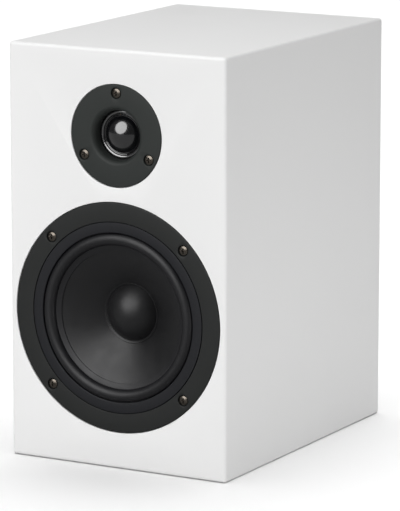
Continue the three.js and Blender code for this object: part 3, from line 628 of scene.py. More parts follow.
@dataclass
class CrossHeadScrew:
    """A pan-head screw with a cross recess, pointing along +Y from its head's top at depth 0."""

    head: float = 2.95
    head_thick: float = 1.4
    flat_share: float = 0.45
    crown: float = 0.45
    shank: float = 1.6
    length: float = 14.0
    recess: float = 1.15
    wing: float = 1.75
    slot: float = 0.42
    wing_mouth: float = 1.12
    wing_floor: float = 0.55
    above: float = 1.0
    seat_radius: float = 3.55
    seat_depth: float = 1.75
    seat_soft: float = 0.25
    soft_share: float = 0.3
    hole: float = 2.0
    hole_depth: float = 12.0

    def profile(self) -> Floats:
        """Works out the half outline of head and shank.

        Returns:
            The outline, closed on the axis, as radius and depth pairs.
        """
        corners = [
            (0, 0, 0), (self.head * self.flat_share, 0, 1.2), (self.head, self.crown, 0.35),
            (self.head, self.head_thick, 0.12), (self.shank, self.head_thick, 0.15),
            (self.shank, self.length - self.shank, 0.3), (0, self.length, 0),
        ]
        return rounded(corners, closed=False)

    def recess_tool(self, centre: Floats) -> bpy.types.Object:
        """Makes the cross-shaped cutter, narrower towards its floor.

        Args:
            centre: the middle of the head's top.

        Returns:
            The cutter.
        """
        w, s = self.wing, self.slot
        quarter = [(w, -s, 0.0), (w, s, 0.0), (s, s, 0.12)]
        corners = []
        for turn in range(4):
            c, d = round(math.cos(turn * math.pi / 2)), round(math.sin(turn * math.pi / 2))
            corners += [(c * u - d * v, d * u + c * v, radius) for u, v, radius in quarter]
        cross = rounded(corners, 3)
        rows = np.array([(0, -self.above), (self.wing_mouth, -self.above), (1, 0),
                         (self.wing_floor, self.recess), (0, self.recess)])
        return carried("recess", cross, rows, centre, ring=False)

    def seat(self, node: str, y: float, way: float = 1.0) -> bpy.types.Object:
        """Makes the cutter for a screw's counterbore and hole, slightly softened at its mouth.

        Args:
            node: the screw's CAD node.
            y: the depth of the face that it goes into.
            way: 1 if it goes along +Y, -1 if along -Y.

        Returns:
            The cutter.
        """
        radius, mouth, depth = self.seat_radius, self.seat_radius + self.seat_soft, self.seat_depth
        part = self.seat_soft * self.soft_share
        rows = np.array([(0, -self.above), (mouth, -self.above), (mouth, 0), (radius + part, part),
                         (radius, self.seat_soft), (radius, depth), (self.hole, depth),
                         (self.hole, self.hole_depth), (0, self.hole_depth)])
        return carried("seat", circle(48), rows * (1, way), middle_at(node, y), ring=False)

    def build(self, node: str, backwards: bool = False) -> bpy.types.Object:
        """Builds the screw over a CAD node.

        Args:
            node: the CAD node it stands for.
            backwards: whether it points along -Y.

        Returns:
            The screw.
        """
        low, high = box_mm(node)
        top = middle_at(node, high[1] if backwards else low[1])
        origin = np.zeros(3)
        screw = carried(node, circle(40), self.profile(), origin, ring=False)
        screw = carved(screw, [self.recess_tool(origin)])
        co = np.empty(len(screw.data.vertices) * 3, np.float32)
        screw.data.vertices.foreach_get("co", co)
        points = co.reshape(-1, 3) * ((-1, -1, 1) if backwards else (1, 1, 1)) + top * MM
        screw.data.vertices.foreach_set("co", points.astype(np.float32).ravel())
        screw.data.update()
        screw.name = f"{node}_piece"
        return dressed(screw, SCREW, Body.SPEAKER, node)


# ---- cabinet ---------------------------------------------------------------------------------------


@dataclass
class Cabinet:
    """The painted carcass: one seamless box with rebated driver holes and two openings in the rear."""

    wall: float = 12.0
    baffle: float = 18.0
    edge: float = 2.0
    corner_steps: int = 6
    least_corner: float = 0.02
    inner_corner: float = 0.5
    band: float = 0.4
    rim: float = 0.35
    woofer_rebate: float = 6.5
    woofer_hole: float = 58.5
    tweeter_rebate: float = 4.25
    tweeter_hole: float = 22.5
    fit: float = 0.3
    seat_gap: float = 0.25
    before: float = 5.0
    beyond: float = 3.0
    finish: Finish = WHITE_PAINT
    low: Floats = field(default_factory=front_low_corner)
    high: Floats = field(default_factory=lambda: box_mm("right_side_panel")[1])

    def loop(self, inset: float, y: float) -> Floats:
        """Works out the cross-section at a depth: a rounded rectangle drawn in by inset.

        The corner radius shrinks with the inset, so that the four corners are parts of spheres.

        Args:
            inset: how far the sides are drawn in.
            y: the depth.

        Returns:
            The loop's points.
        """
        width, height = self.high[0] - self.low[0], self.high[2] - self.low[2]
        radius = max(self.edge - inset, self.least_corner)
        flat = rounded_rectangle(width - 2 * inset, height - 2 * inset, radius, self.corner_steps)
        middle = (self.low[2] + self.high[2]) / 2
        return np.stack([flat[:, 0], np.full(len(flat), y), flat[:, 1] + middle], -1)

    def outside(self) -> bpy.types.Object:
        """Makes the solid outer form: quarter arcs lead from both end faces into the sides.

        Returns:
            The uncut box.
        """
        turn = np.linspace(0, np.pi / 2, self.corner_steps + 1)
        inset = self.edge * (1 - np.sin(turn))
        depth = self.edge * (1 - np.cos(turn))
        front = [(self.edge + self.band, 0.0), *zip(inset, depth)]
        rows = [(a, self.low[1] + b) for a, b in front]
        rows += [(a, self.high[1] - b) for a, b in reversed(front)]
        loops = [self.loop(a, y) for a, y in rows]
        middle = (self.low + self.high) / 2
        centres = [np.broadcast_to([0.0, y, middle[2]], loops[0].shape) for y in (self.low[1], self.high[1])]
        return skin("cabinet", np.array([centres[0], *loops, centres[1]]))

    def chamber(self) -> bpy.types.Object:
        """Makes the cutter for the inside, a box one wall smaller.

        Returns:
            The cutter.
        """
        low = self.low + (self.wall, self.baffle, self.wall)
        high = self.high - self.wall
        size = high - low
        flat = rounded_rectangle(size[0], size[2], self.inner_corner, 2)
        middle = (low + high) / 2
        rows = np.array([(0.0, low[1]), (1.0, low[1]), (1.0, high[1]), (0.0, high[1])])
        return carried("chamber", flat, rows, middle * (1, 0, 1), ring=False)

    def round_cut(self, centre: Floats, radius: float, rebate: float, hole: float) -> bpy.types.Object:
        """Makes a stepped round cutter through the baffle, with a soft lip of paint at its mouth.

        Args:
            centre: the driver's axis on the front plane.
            radius: the rebate's radius.
            rebate: the rebate's depth.
            hole: the through hole's radius.

        Returns:
            The cutter.
        """
        lip, end = radius + self.rim, self.baffle + self.beyond
        turn = np.linspace(0, np.pi / 2, 5)
        soft = np.stack([lip - self.rim * np.sin(turn), self.rim * (1 - np.cos(turn))], -1)
        profile = np.concatenate([[(0, -self.before), (lip, -self.before)], soft,
                                  [(radius, rebate), (hole, rebate), (hole, end), (0, end)]])
        return carried("round_cut", circle(256), profile, centre, ring=False)

    def build(self) -> bpy.types.Object:
        """Builds and dresses the carcass.

        Returns:
            The carcass.
        """
        drivers = [("woofer_trim_ring", self.woofer_rebate, self.woofer_hole),
                   ("tweeter_faceplate", self.tweeter_rebate, self.tweeter_hole)]
        tools = [self.round_cut(axis_of(node), size_mm(node)[0] / 2 + self.fit, rebate, hole)
                 for node, rebate, hole in drivers]
        carcass = carved(self.outside(), [self.chamber()])
        carcass = carved(carcass, [*tools, self.port_cut(), self.cup_cut()])
        return dressed(carcass, self.finish, Body.SPEAKER, "front_baffle", "rear_panel", "left_side_panel",
                       "right_side_panel", "top_panel", "bottom_panel")

    def port_cut(self) -> bpy.types.Object:
        """Makes the cutter for the port's bore and for the seat of its flange.

        Returns:
            The cutter.
        """
        flange = size_mm("port_tube")[0] / 2 + self.fit
        bore = Port.bore + Port.wall + self.fit
        seat, start = Port.flange_thick + self.seat_gap, self.wall + self.beyond
        profile = np.array([(0, -start), (bore, -start), (bore, -seat), (flange, -seat), (flange, -self.rim),
                            (flange + self.rim, 0), (flange + self.rim, self.before), (0, self.before)])
        return carried("port_cut", circle(160), profile, middle_at("port_tube", self.high[1]), ring=False)

    def cup_cut(self) -> bpy.types.Object:
        """Makes the cutter for the terminal cup's body and for the seat of its flange.

        Returns:
            The cutter.
        """
        cup, size = TerminalPanel, size_mm("terminal_cup")
        seat = cup.flange_thick + self.seat_gap
        shapes = [
            (size[0] + 2 * self.fit, size[2] + 2 * self.fit, cup.corner + self.fit, (self.before, -seat)),
            (cup.pocket_width + 2 * cup.wall + 2 * self.fit, cup.pocket_height + 2 * cup.wall + 2 * self.fit,
             cup.corner, (-seat, -self.wall - self.beyond)),
        ]
        loops = []
        for width, height, radius, depths in shapes:
            flat = rounded_rectangle(width, height, radius)
            loops += [np.stack([flat[:, 0], np.full(len(flat), y), flat[:, 1]], -1) for y in depths]
        return skin("cup_cut", capped(np.array(loops) + middle_at("terminal_cup", self.high[1])))


@dataclass
class Port:
    """The reflex port: a flared tube with a flange let into the rear panel."""

    bore: float = 17.5
    wall: float = 2.0
    flange_thick: float = 3.0
    flare: float = 7.0
    finish: Finish = MOULDED

    def build(self) -> bpy.types.Object:
        """Builds and dresses the port tube: its mouth is a quarter circle that leads into the bore.

        Returns:
            The tube.
        """
        width, length, _ = size_mm("port_tube")
        flange, outer, shoulder = width / 2, self.bore + self.wall, length - self.flange_thick
        corners = [(self.bore, 0, 0.6), (outer, 0, 0.8), (outer, shoulder, 0.3), (flange, shoulder, 0.2),
                   (flange, length, 0.5), (self.bore + self.flare, length, 0)]
        turn = np.linspace(0, np.pi / 2, 17)[1:]
        radius = self.bore + self.flare * (1 - np.sin(turn))
        mouth = np.stack([radius, length - self.flare * (1 - np.cos(turn))], -1)
        centre = middle_at("port_tube", box_mm("port_tube")[0][1])
        tube = carried("reflex_port", circle(160), np.concatenate([rounded(corners), mouth]), centre)
        return dressed(tube, self.finish, Body.SPEAKER, "port_tube")


@dataclass
class TerminalPanel:
    """The recessed terminal cup in the rear, a rounded dish with a flange screwed on from outside."""

    pocket_width: float = 72.0
    pocket_height: float = 54.0
    pocket_depth: float = 26.0
    wall: float = 2.0
    flange_thick: float = 3.0
    corner: float = 8.0
    edge: float = 0.7
    mouth: float = 1.2
    fillet: float = 1.5
    least_corner: float = 0.4
    hole: float = 3.25
    past: float = 6.0
    steps: int = 5

    def loop(self, width: float, height: float, radius: float, y: float) -> Floats:
        """Returns a rounded rectangle at a depth."""
        flat = rounded_rectangle(width, height, max(radius, self.least_corner))
        return np.stack([flat[:, 0], np.full(len(flat), y), flat[:, 1]], -1)

    def shell(self) -> bpy.types.Object:
        """Builds the dish: loops run from the middle of its back round the flange to the middle of its floor.

        The flange's edge, the pocket's mouth and the pocket's foot are quarter arcs.

        Returns:
            The uncut dish.
        """
        low, high = box_mm("terminal_cup")
        middle = (low + high) / 2
        width, height, rear = high[0] - low[0], high[2] - low[2], high[1]
        floor = rear - self.pocket_depth
        outer_width, outer_height = self.pocket_width + 2 * self.wall, self.pocket_height + 2 * self.wall
        rows = [(outer_width, outer_height, self.corner, floor - self.wall),
                (outer_width, outer_height, self.corner, rear - self.flange_thick),
                (width, height, self.corner, rear - self.flange_thick)]
        turn = np.linspace(0, np.pi / 2, self.steps + 1)
        for a, b in zip(1 - np.cos(turn), 1 - np.sin(turn)):
            rows.append((width - 2 * self.edge * a, height - 2 * self.edge * a, self.corner - self.edge * a,
                         rear - self.edge * b))
        inner = self.corner - self.wall
        for a, b in zip(1 - np.sin(turn), 1 - np.cos(turn)):
            rows.append((self.pocket_width + 2 * self.mouth * a, self.pocket_height + 2 * self.mouth * a,
                         inner + self.mouth * a, rear - self.mouth * b))
        for a, b in zip(1 - np.cos(turn), 1 - np.sin(turn)):
            rows.append((self.pocket_width - 2 * self.fillet * a, self.pocket_height - 2 * self.fillet * a,
                         inner - self.fillet * a, floor + self.fillet * b))
        loops = [self.loop(*row) + (middle[0], 0, middle[2]) for row in rows]
        return skin("terminal_dish", capped(loops))

    def build(self) -> None:
        """Builds and dresses the dish, its screws and both binding posts."""
        rear = box_mm("terminal_cup")[1][1]
        floor = rear - self.pocket_depth
        tools = []
        for index in range(1, 5):
            screw = f"terminal_cup_screw_{index}"
            tools.append(CrossHeadScrew().seat(screw, rear, -1.0))
            CrossHeadScrew().build(screw, backwards=True)
        for side in ("left", "right"):
            start, end = -self.wall - self.past, self.past
            rows = np.array([(0, start), (self.hole, start), (self.hole, end), (0, end)])
            middle = middle_at(f"terminal_stud_{side}", floor)
            tools.append(carried("stud_hole", circle(40), rows, middle, ring=False))
        dressed(carved(self.shell(), tools), MOULDED, Body.SPEAKER, "terminal_cup")
        BindingPost("left", KNOB_RED, Body.LEFT_WASHER, Body.LEFT_KNOB).build()
        BindingPost("right", KNOB_BLACK, Body.RIGHT_WASHER, Body.RIGHT_KNOB).build()


@dataclass
class BindingPost:
    """A terminal: a threaded stud, a collar at its foot, a washer and the knob that clamps the wire."""

    side: str
    finish: Finish
    washer_body: Body
    knob_body: Body
    stud_radius: float = 3.0
    stud_sides: int = 40
    tip: float = 0.4
    thread_depth: float = 0.3
    thread_start: float = 0.6
    thread_steps: int = 8
    thread_end: float = 0.2
    pitch: float = 1.0
    socket: float = 2.0
    socket_depth: float = 16.0
    shoulder_radius: float = 5.0
    shoulder_thick: float = 3.0
    wire_hole: float = 1.0
    wire_hole_lift: float = 1.5
    gap: float = 0.25
    bore: float = 3.35
    foot_step: float = 0.35
    foot_height: float = 1.2
    grip_start: float = 1.6
    grip_rows: int = 9
    grip_margin: float = 0.6
    on_side: float = 0.05
    top_round: float = 0.9
    flutes: int = 12
    flute_steps: int = 12
    flute_depth: float = 0.6
    flute_run_in: float = 0.8
    flute_run_out: float = 1.2

    def foot_of(self, node: str) -> Floats:
        """Returns the middle of a round CAD node's inner end."""
        return middle_at(node, box_mm(node)[0][1])

    def ring(self, node: str, name: str, edge: float) -> bpy.types.Object:
        """Builds a flat ring in a CAD node's place, with softened edges.

        Args:
            node: the CAD node.
            name: the ring's name.
            edge: the outer edges' radius.

        Returns:
            The ring.
        """
        width, thick, _ = size_mm(node)
        outer, inner = width / 2, self.stud_radius + self.gap
        profile = rounded([(inner, 0, 0.15), (outer, 0, edge), (outer, thick, edge), (inner, thick, 0.15)])
        return carried(name, circle(96), profile, self.foot_of(node))

    def knob(self) -> bpy.types.Object:
        """Builds the knob: flutes fade in from both ends of its side.

        Its radius is the full one less the flute depth times the square of the sine of half the flutes'
        angle, times 1 on the side and 0 at both rims.

        Returns:
            The knob.
        """
        node = f"terminal_knob_{self.side}"
        width, length, _ = size_mm(node)
        outer, foot, start = width / 2, width / 2 - self.foot_step, self.grip_start
        profile = rounded([(self.bore, 0, 0.2), (foot, 0, 0.5), (foot, self.foot_height, 0.3),
                           (outer, start, 0.3), (outer, length, self.top_round), (self.bore, length, 0.5)])
        side = np.linspace(start + self.grip_margin, length - self.flute_run_out, self.grip_rows)
        split = int(np.argmax((profile[:, 0] > outer - self.on_side) & (profile[:, 1] > length / 2)))
        grip = np.stack([np.full(self.grip_rows, outer), side], -1)
        profile = np.concatenate([profile[:split], grip, profile[split:]])
        angle = np.linspace(0, 2 * np.pi, self.flutes * self.flute_steps, endpoint=False)
        scallop = np.sin(angle * self.flutes / 2) ** 2
        depth = profile[:, 1]
        fade = np.clip((depth - start) / self.flute_run_in, 0, 1)
        fade *= np.clip((length - self.top_round - depth) / self.flute_run_out, 0, 1)
        fade *= profile[:, 0] > outer - self.on_side
        radius = profile[:, :1] - self.flute_depth * fade[:, None] * scallop[None]
        loops = np.stack([radius * np.cos(angle), np.broadcast_to(profile[:, 1:], radius.shape),
                          radius * np.sin(angle)], -1)
        return skin(f"knob_{self.side}_grip", loops + self.foot_of(node), ring=True)

    def stud(self) -> bpy.types.Object:
        """Builds the stud with a helical thread, a plug socket and a wire hole across it.

        On the thread, the radius is the full one less its depth times half of 1 + cosine of (the angle less
        the turns made so far).

        Returns:
            The stud.
        """
        node = f"terminal_stud_{self.side}"
        centre, length = self.foot_of(node), size_mm(node)[1]
        shoulder = box_mm("terminal_cup")[0][1] - centre[1] - self.gap
        below = shoulder - self.shoulder_thick
        step, tip = self.pitch / self.thread_steps, self.stud_radius - self.tip
        lower = np.arange(self.thread_start, below - self.thread_end, step)
        upper = np.arange(shoulder + self.thread_end, length - self.thread_start, step)
        rows = [(0, 0, 0), (tip, 0, 0), *[(self.stud_radius, y, 1.0) for y in lower],
                (self.stud_radius, below, 0), (self.shoulder_radius, below, 0),
                (self.shoulder_radius, shoulder, 0), (self.stud_radius, shoulder, 0),
                *[(self.stud_radius, y, 1.0) for y in upper], (tip, length, 0), (self.socket, length, 0),
                (self.socket, length - self.socket_depth, 0), (0, length - self.socket_depth, 0)]
        radius, depth, threaded = np.array(rows, float).T
        angle = np.linspace(0, 2 * np.pi, self.stud_sides, endpoint=False)
        wave = (1 + np.cos(angle[None] - 2 * np.pi * depth[:, None] / self.pitch)) / 2
        reach = radius[:, None] - self.thread_depth * threaded[:, None] * wave
        up = np.broadcast_to(depth[:, None], reach.shape)
        loops = np.stack([reach * np.cos(angle), up, reach * np.sin(angle)], -1)
        stud = skin(f"stud_{self.side}_metal", loops + centre, sharp=50.0)
        return carved(stud, [self.wire_cut(centre)], sharp=50.0)

    def wire_cut(self, centre: Floats) -> bpy.types.Object:
        """Makes the upright round cutter for the wire hole, just above the knob's foot.

        Args:
            centre: the middle of the stud's inner end.

        Returns:
            The cutter.
        """
        y = box_mm(f"terminal_knob_{self.side}")[0][1] + self.wire_hole_lift
        turn, reach = circle(24) * self.wire_hole, 2 * self.stud_radius
        rows = ((0, -reach), (1, -reach), (1, reach), (0, reach))
        return skin("wire_hole", np.array([
            np.stack([centre[0] + turn[:, 0] * scale, y + turn[:, 1] * scale, np.full(24, centre[2] + z)], -1)
            for scale, z in rows]))

    def build(self) -> None:
        """Builds and dresses the post's four pieces."""
        side = self.side
        dressed(self.stud(), GOLD, Body.SPEAKER, f"terminal_stud_{side}")
        collar = self.ring(f"terminal_collar_{side}", f"collar_{side}_piece", 0.4)
        dressed(collar, self.finish, Body.SPEAKER, f"terminal_collar_{side}")
        washer = self.ring(f"terminal_washer_{side}", f"washer_{side}_piece", 0.15)
        dressed(washer, GOLD, self.washer_body, f"terminal_washer_{side}")
        dressed(self.knob(), self.finish, self.knob_body, f"terminal_knob_{side}")


@dataclass
class DampingPad:
    """The pad of wadding on the cabinet's floor."""

    corner: float = 7.0
    least_corner: float = 0.6
    ripple: float = 1.08
    waves: Corner = (0.31, 0.23, 0.37)
    sways: tuple[float, float] = (1.3, 0.8)
    sway_waves: tuple[float, float] = (0.09, 0.12)
    shift: float = 0.5
    fill: float = 0.5
    rows: int = 70
    columns: int = 180
    finish: Finish = FLEECE

    def dimples(self, points: Floats) -> Floats:
        """Works out the dimples: the product of three waves along X, Y and Z.

        Each wave has its own length, and the first two sway with one another's axis, so that no row of
        dimples is straight.

        Args:
            points: the pad's points in millimetres.

        Returns:
            How far each point is drawn in, from -1 to 1.
        """
        x, y, z = np.moveaxis(points, -1, 0)
        along_x = np.sin(x * self.waves[0] + self.sways[0] * np.sin(y * self.sway_waves[0]))
        along_y = np.sin(y * self.waves[1] + self.sways[1] * np.sin(x * self.sway_waves[1]))
        return along_x * along_y * np.sin(z * self.waves[2] + self.shift)

    def build(self) -> bpy.types.Object:
        """Builds the pad: rounded sections along Y, drawn in at both ends and dimpled.

        Near an end, the sections shrink as a quarter circle of the corner's radius does.

        Returns:
            The pad.
        """
        low, high = box_mm("damping_fleece")
        size, middle = high - low, (low + high) / 2
        along = np.linspace(0, np.pi, self.rows)
        y = middle[1] - size[1] / 2 * np.cos(along)
        into_corner = np.clip(1 - (size[1] / 2 - abs(y - middle[1])) / self.corner, 0, 1)
        inset = self.corner * (1 - np.sqrt(1 - into_corner**2))
        loops = []
        for depth, draw in zip(y, inset):
            radius = max(self.corner - draw, self.least_corner)
            flat = even(rounded_rectangle(size[0] - 2 * draw, size[2] - 2 * draw, radius), self.columns)
            across, up = flat.T + middle[[0, 2]][:, None]
            loops.append(np.stack([across, np.full(len(flat), depth), up], -1))
        points = np.array(loops)
        shrink = 1 - self.ripple * (1 + self.dimples(points))[..., None] / size
        pad = skin("wadding_pad", capped(middle + (points - middle) * shrink), sharp=80.0)
        return dressed(pad, self.finish, Body.SPEAKER, "damping_fleece")


def even(outline: Floats, count: int) -> Floats:
    """Spreads points at even distances along a closed outline.

    Args:
        outline: the outline's corners as pairs.
        count: the number of points.

    Returns:
        The points as pairs.
    """
    closed = np.concatenate([outline, outline[:1]])
    travel = np.concatenate([[0], np.cumsum(np.hypot(*np.diff(closed, axis=0).T))])
    at = np.linspace(0, travel[-1], count, endpoint=False)
    return np.stack([np.interp(at, travel, closed[:, axis]) for axis in (0, 1)], -1)


# ---- woofer ----------------------------------------------------------------------------------------


@dataclass
class Woofer:
    """The cone driver. Radii and depths are in millimetres about its axis on the baffle's front plane."""

    trim_inner: float = 60.25
    trim_thick: float = 2.75
    edge: float = 0.7
    roll_outer: float = 53.0
    roll_inner: float = 45.25
    roll_foot: float = 2.5
    rubber: float = 0.9
    foot_run: float = 0.3
    lip: float = 42.0
    lip_thick: float = 0.75
    lip_glued: float = 0.5
    cone_rim: float = 45.0
    cone_rim_depth: float = 3.25
    cone_depth: float = 19.0
    cone_curve: float = 5.5
    cone_thick: float = 0.9
    neck: float = 13.15
    cap_radius: float = 17.5
    cap_lip: float = 19.0
    cap_rise: float = 10.25
    cap_thick: float = 0.8
    gap: float = 0.25
    rib_gap: float = 0.05
    rib_thick: float = 0.6
    sides: int = 256
    spider_rim: float = 42.75
    spider_foot: float = 36.5
    spider_seat: float = 33.25
    spider_thick: float = 0.75
    spider_wave: float = 1.1
    spider_waves: float = 3.5
    spider_hold: float = 0.6
    lead_radius: float = 0.6
    lead_glue: float = 23.0
    lead_off: tuple[float, float] = (4.0, 1.0)
    lead_route: tuple[tuple[float, float], ...] = (
        (33.25, 50.75), (29.5, 50.75), (24.5, 44.75), (22.0, 36.75), (22.5, 29.75))
    lead_bend: tuple[float, float] = (50.0, 24.5)
    centre: Floats = field(default_factory=lambda: axis_of("woofer_trim_ring"))

    def cone_front(self, radius: Floats | float) -> Floats | float:
        """Returns the cone's depth at a radius: a straight part plus a share of the square of the way in."""
        way = (self.cone_rim - radius) / (self.cone_rim - self.neck)
        return self.cone_rim_depth + (self.cone_depth - self.cone_curve) * way + self.cone_curve * way**2

    def lathed(self, name: str, profile: Floats, ring: bool = True) -> bpy.types.Object:
        """Turns a profile about the driver's axis."""
        return carried(name, circle(self.sides), profile, self.centre, ring)

    def trim_ring(self) -> bpy.types.Object:
        """Builds the outer ring with a counterbore for each screw.

        Returns:
            The ring.
        """
        outer, back = size_mm("woofer_trim_ring")[0] / 2, self.trim_thick
        profile = rounded([(self.trim_inner, 0, 0.25), (outer, 0, self.edge), (outer, back, 0.2),
                           (self.trim_inner, back, 0.2)], 6)
        ring = self.lathed("woofer_outer_ring", profile)
        tools = [CrossHeadScrew().seat(f"woofer_screw_{index}", self.centre[1]) for index in range(1, 5)]
        return dressed(carved(ring, tools), TRIM, Body.SPEAKER, "woofer_trim_ring")

    def gasket_ring(self) -> bpy.types.Object:
        """Builds the flat ring that clamps the surround's lip. A rib at its back centres it in the trim ring.

        Returns:
            The ring.
        """
        outer, inner = size_mm("woofer_gasket_ring")[0] / 2, self.roll_outer + self.gap
        back = box_mm("woofer_gasket_ring")[1][1] - self.centre[1]
        rib = self.trim_inner - self.rib_gap
        profile = rounded([(inner, 0, 0.6), (outer, 0, 0.2), (outer, back - self.rib_thick, 0),
                           (rib, back - self.rib_thick, 0), (rib, back, 0.05), (inner, back, 0.2)], 5)
        return dressed(self.lathed("woofer_inner_ring", profile), GASKET, Body.SPEAKER, "woofer_gasket_ring")

    def surround(self) -> bpy.types.Object:
        """Builds the half-roll between the gasket ring and the cone, whose inner lip lies on the cone's
        front.

        The roll is half a circle between its two feet. A second, smaller half circle gives the rubber its
        thickness.

        Returns:
            The surround.
        """
        outer = size_mm("woofer_surround")[0] / 2
        middle, reach = (self.roll_outer + self.roll_inner) / 2, (self.roll_outer - self.roll_inner) / 2
        lip_front = self.trim_thick - self.lip_thick
        start = math.asin((self.roll_foot - lip_front) / reach)
        turn = np.linspace(start, np.pi, 33)
        over = np.stack([middle + reach * np.cos(turn), self.roll_foot - reach * np.sin(turn)], -1)
        turn = np.linspace(np.pi, 0, 33)
        thin = reach - self.rubber
        under = np.stack([middle + thin * np.cos(turn), self.roll_foot - thin * np.sin(turn)], -1)
        radii = np.linspace(self.roll_inner - self.foot_run, self.lip, 5)
        seat = self.cone_front(radii) - self.gap
        lip_top = np.stack([radii, seat - self.lip_glued], -1)
        lip_under = np.stack([radii[::-1], seat[::-1]], -1)
        rim = self.cone_front(self.cone_rim + self.gap) - self.gap
        profile = np.concatenate([
            [(outer, lip_front)], over, lip_top, lip_under,
            [(self.roll_inner, rim), (self.roll_inner + self.rubber, rim)], under,
            [(self.roll_outer - self.rubber, self.trim_thick), (outer, self.trim_thick)],
        ])
        piece = self.lathed("woofer_roll", profile)
        ends = (self.centre + (self.roll_outer, 0, 0), self.centre + (self.roll_inner, 0, 0))
        flexed(piece, ROLL, Body.WOOFER, ends, "woofer_surround")
        bend_by_radius(piece)
        return piece

    def cone(self) -> bpy.types.Object:
        """Builds the cone, its two faces a sheet's thickness apart.

        Returns:
            The cone.
        """
        radii = np.linspace(self.cone_rim + self.gap, self.neck, 49)
        front = np.stack([radii, self.cone_front(radii)], -1)
        back = front[::-1] + (0, self.cone_thick)
        piece = self.lathed("woofer_diaphragm", np.concatenate([front, back]))
        return dressed(piece, DIAPHRAGM, Body.WOOFER, "woofer_cone")

    def dust_cap(self) -> bpy.types.Object:
        """Builds the cap: a part of a sphere on a flat glued lip that follows the cone.

        Returns:
            The cap.
        """
        foot = self.cone_front(self.cap_radius) - self.gap
        base = foot - self.cap_thick / 2
        outside = dome(self.cap_radius, self.cap_rise, base, 24)
        inside = dome(self.cap_radius - self.cap_thick, self.cap_rise - self.cap_thick, base, 24)[::-1]
        seat = self.cone_front(self.cap_lip) - self.gap
        lip = rounded([(self.cap_radius, base, 0), (self.cap_lip, seat - self.cap_thick / 2, 0.15),
                       (self.cap_lip, seat, 0.1), (self.cap_radius, foot, 0)], 4, closed=False)
        profile = np.concatenate([outside[:-1], lip, inside])
        piece = self.lathed("woofer_cap", profile, ring=False)
        return dressed(piece, DIAPHRAGM, Body.WOOFER, "woofer_dust_cap")

    def spider(self) -> bpy.types.Object:
        """Builds the corrugated cloth disc behind the cone.

        Its depth follows half of 1 - cosine, three and a half times between its foot and the voice coil.

        Returns:
            The disc.
        """
        foot, seat, thick = self.spider_foot, self.spider_seat, self.spider_thick
        radii = np.linspace(foot, self.neck, 85)
        turn = 2 * np.pi * self.spider_waves * (foot - radii) / (foot - self.neck)
        depth = seat - thick - self.spider_wave * (1 - np.cos(turn)) / 2
        front = np.concatenate([[(self.spider_rim, seat - thick)], np.stack([radii, depth], -1)])
        piece = self.lathed("spider_cloth_disc", np.concatenate([front, front[::-1] + (0, thick)]))
        ends = (self.centre + (foot, seat, 0), self.centre + (self.neck, seat, 0))
        flexed(piece, SPIDER_CLOTH, Body.WOOFER, ends, "woofer_spider")
        bend_by_radius(piece)
        return piece

    def tinsel_lead(self, side: str) -> bpy.types.Object:
        """Builds a flexible lead that hangs from the terminal strip to the back of the cone.

        Its line is a Catmull-Rom curve in a plane of constant X, and its section a circle. The route's points
        are depth and height above the driver's axis. The last two lead it onto the back of the cone.

        Args:
            side: left or right.

        Returns:
            The lead.
        """
        x = middle_at(f"tinsel_lead_{side}", 0.0)[0]
        glue = self.cone_front(self.lead_glue) + self.cone_thick
        behind, above = self.lead_off
        off_cone = [(glue + behind, self.lead_glue + above), (glue + self.gap, self.lead_glue)]
        line = smooth_line(np.array([*self.lead_route, *off_cone]), 12)
        ahead = np.gradient(line, axis=0)
        ahead /= np.linalg.norm(ahead, axis=1)[:, None]
        across = np.stack([-ahead[:, 1], ahead[:, 0]], -1)
        turn = circle(16) * self.lead_radius
        loops = np.empty((len(line), len(turn), 3))
        loops[..., 0] = x + turn[None, :, 0]
        loops[..., 1:] = line[:, None] + turn[None, :, 1:] * across[:, None]
        loops += (0, self.centre[1], self.centre[2])
        piece = skin(f"lead_{side}_braid", capped(loops))
        start, end = (self.centre + (x, 0, height) for height in self.lead_bend)
        return flexed(piece, TINSEL, Body.WOOFER, (start, end), f"tinsel_lead_{side}")

    def build(self) -> None:
        """Builds and dresses the driver's pieces."""
        self.spider()
        self.tinsel_lead("left")
        self.tinsel_lead("right")
        self.trim_ring()
        self.gasket_ring()
        self.surround()
        self.cone()
        self.dust_cap()
        for index in range(1, 5):
            CrossHeadScrew().build(f"woofer_screw_{index}")


def dome(radius: float, rise: float, base: float, count: int) -> Floats:
    """Works out the half outline of a part of a sphere, from its top on the axis to its edge.

    The sphere's radius is (radius squared + rise squared) / (2 * rise), and its points turn evenly from the
    top.

    Args:
        radius: the edge's radius.
        rise: how far the top stands before the edge.
        base: the edge's depth.
        count: the number of steps.

    Returns:
        The outline as radius and depth pairs.
    """
    ball = (radius**2 + rise**2) / (2 * rise)
    turn = np.linspace(0, math.asin(radius / ball), count + 1)
    return np.stack([ball * np.sin(turn), base - rise + ball * (1 - np.cos(turn))], -1)


def smooth_line(knots: Floats, count: int) -> Floats:
    """Draws a Catmull-Rom curve through knots.

    Between knots b and c, with a before and d after them, it is half of 2b + (c - a) t + (2a - 5b + 4c - d)
    t squared + (3b - a - 3c + d) t cubed.

    Args:
        knots: the points that it passes.
        count: the number of steps between each two.

    Returns:
        The curve's points.
    """
    padded = np.concatenate([2 * knots[:1] - knots[1:2], knots, 2 * knots[-1:] - knots[-2:-1]])
    t = np.linspace(0, 1, count, endpoint=False)[:, None]
    spans = [(2 * b + (c - a) * t + (2 * a - 5 * b + 4 * c - d) * t**2 + (3 * b - a - 3 * c + d) * t**3) / 2
             for a, b, c, d in zip(padded, padded[1:], padded[2:], padded[3:])]
    return np.concatenate([*spans, knots[-1:]])


# ---- tweeter ---------------------------------------------------------------------------------------


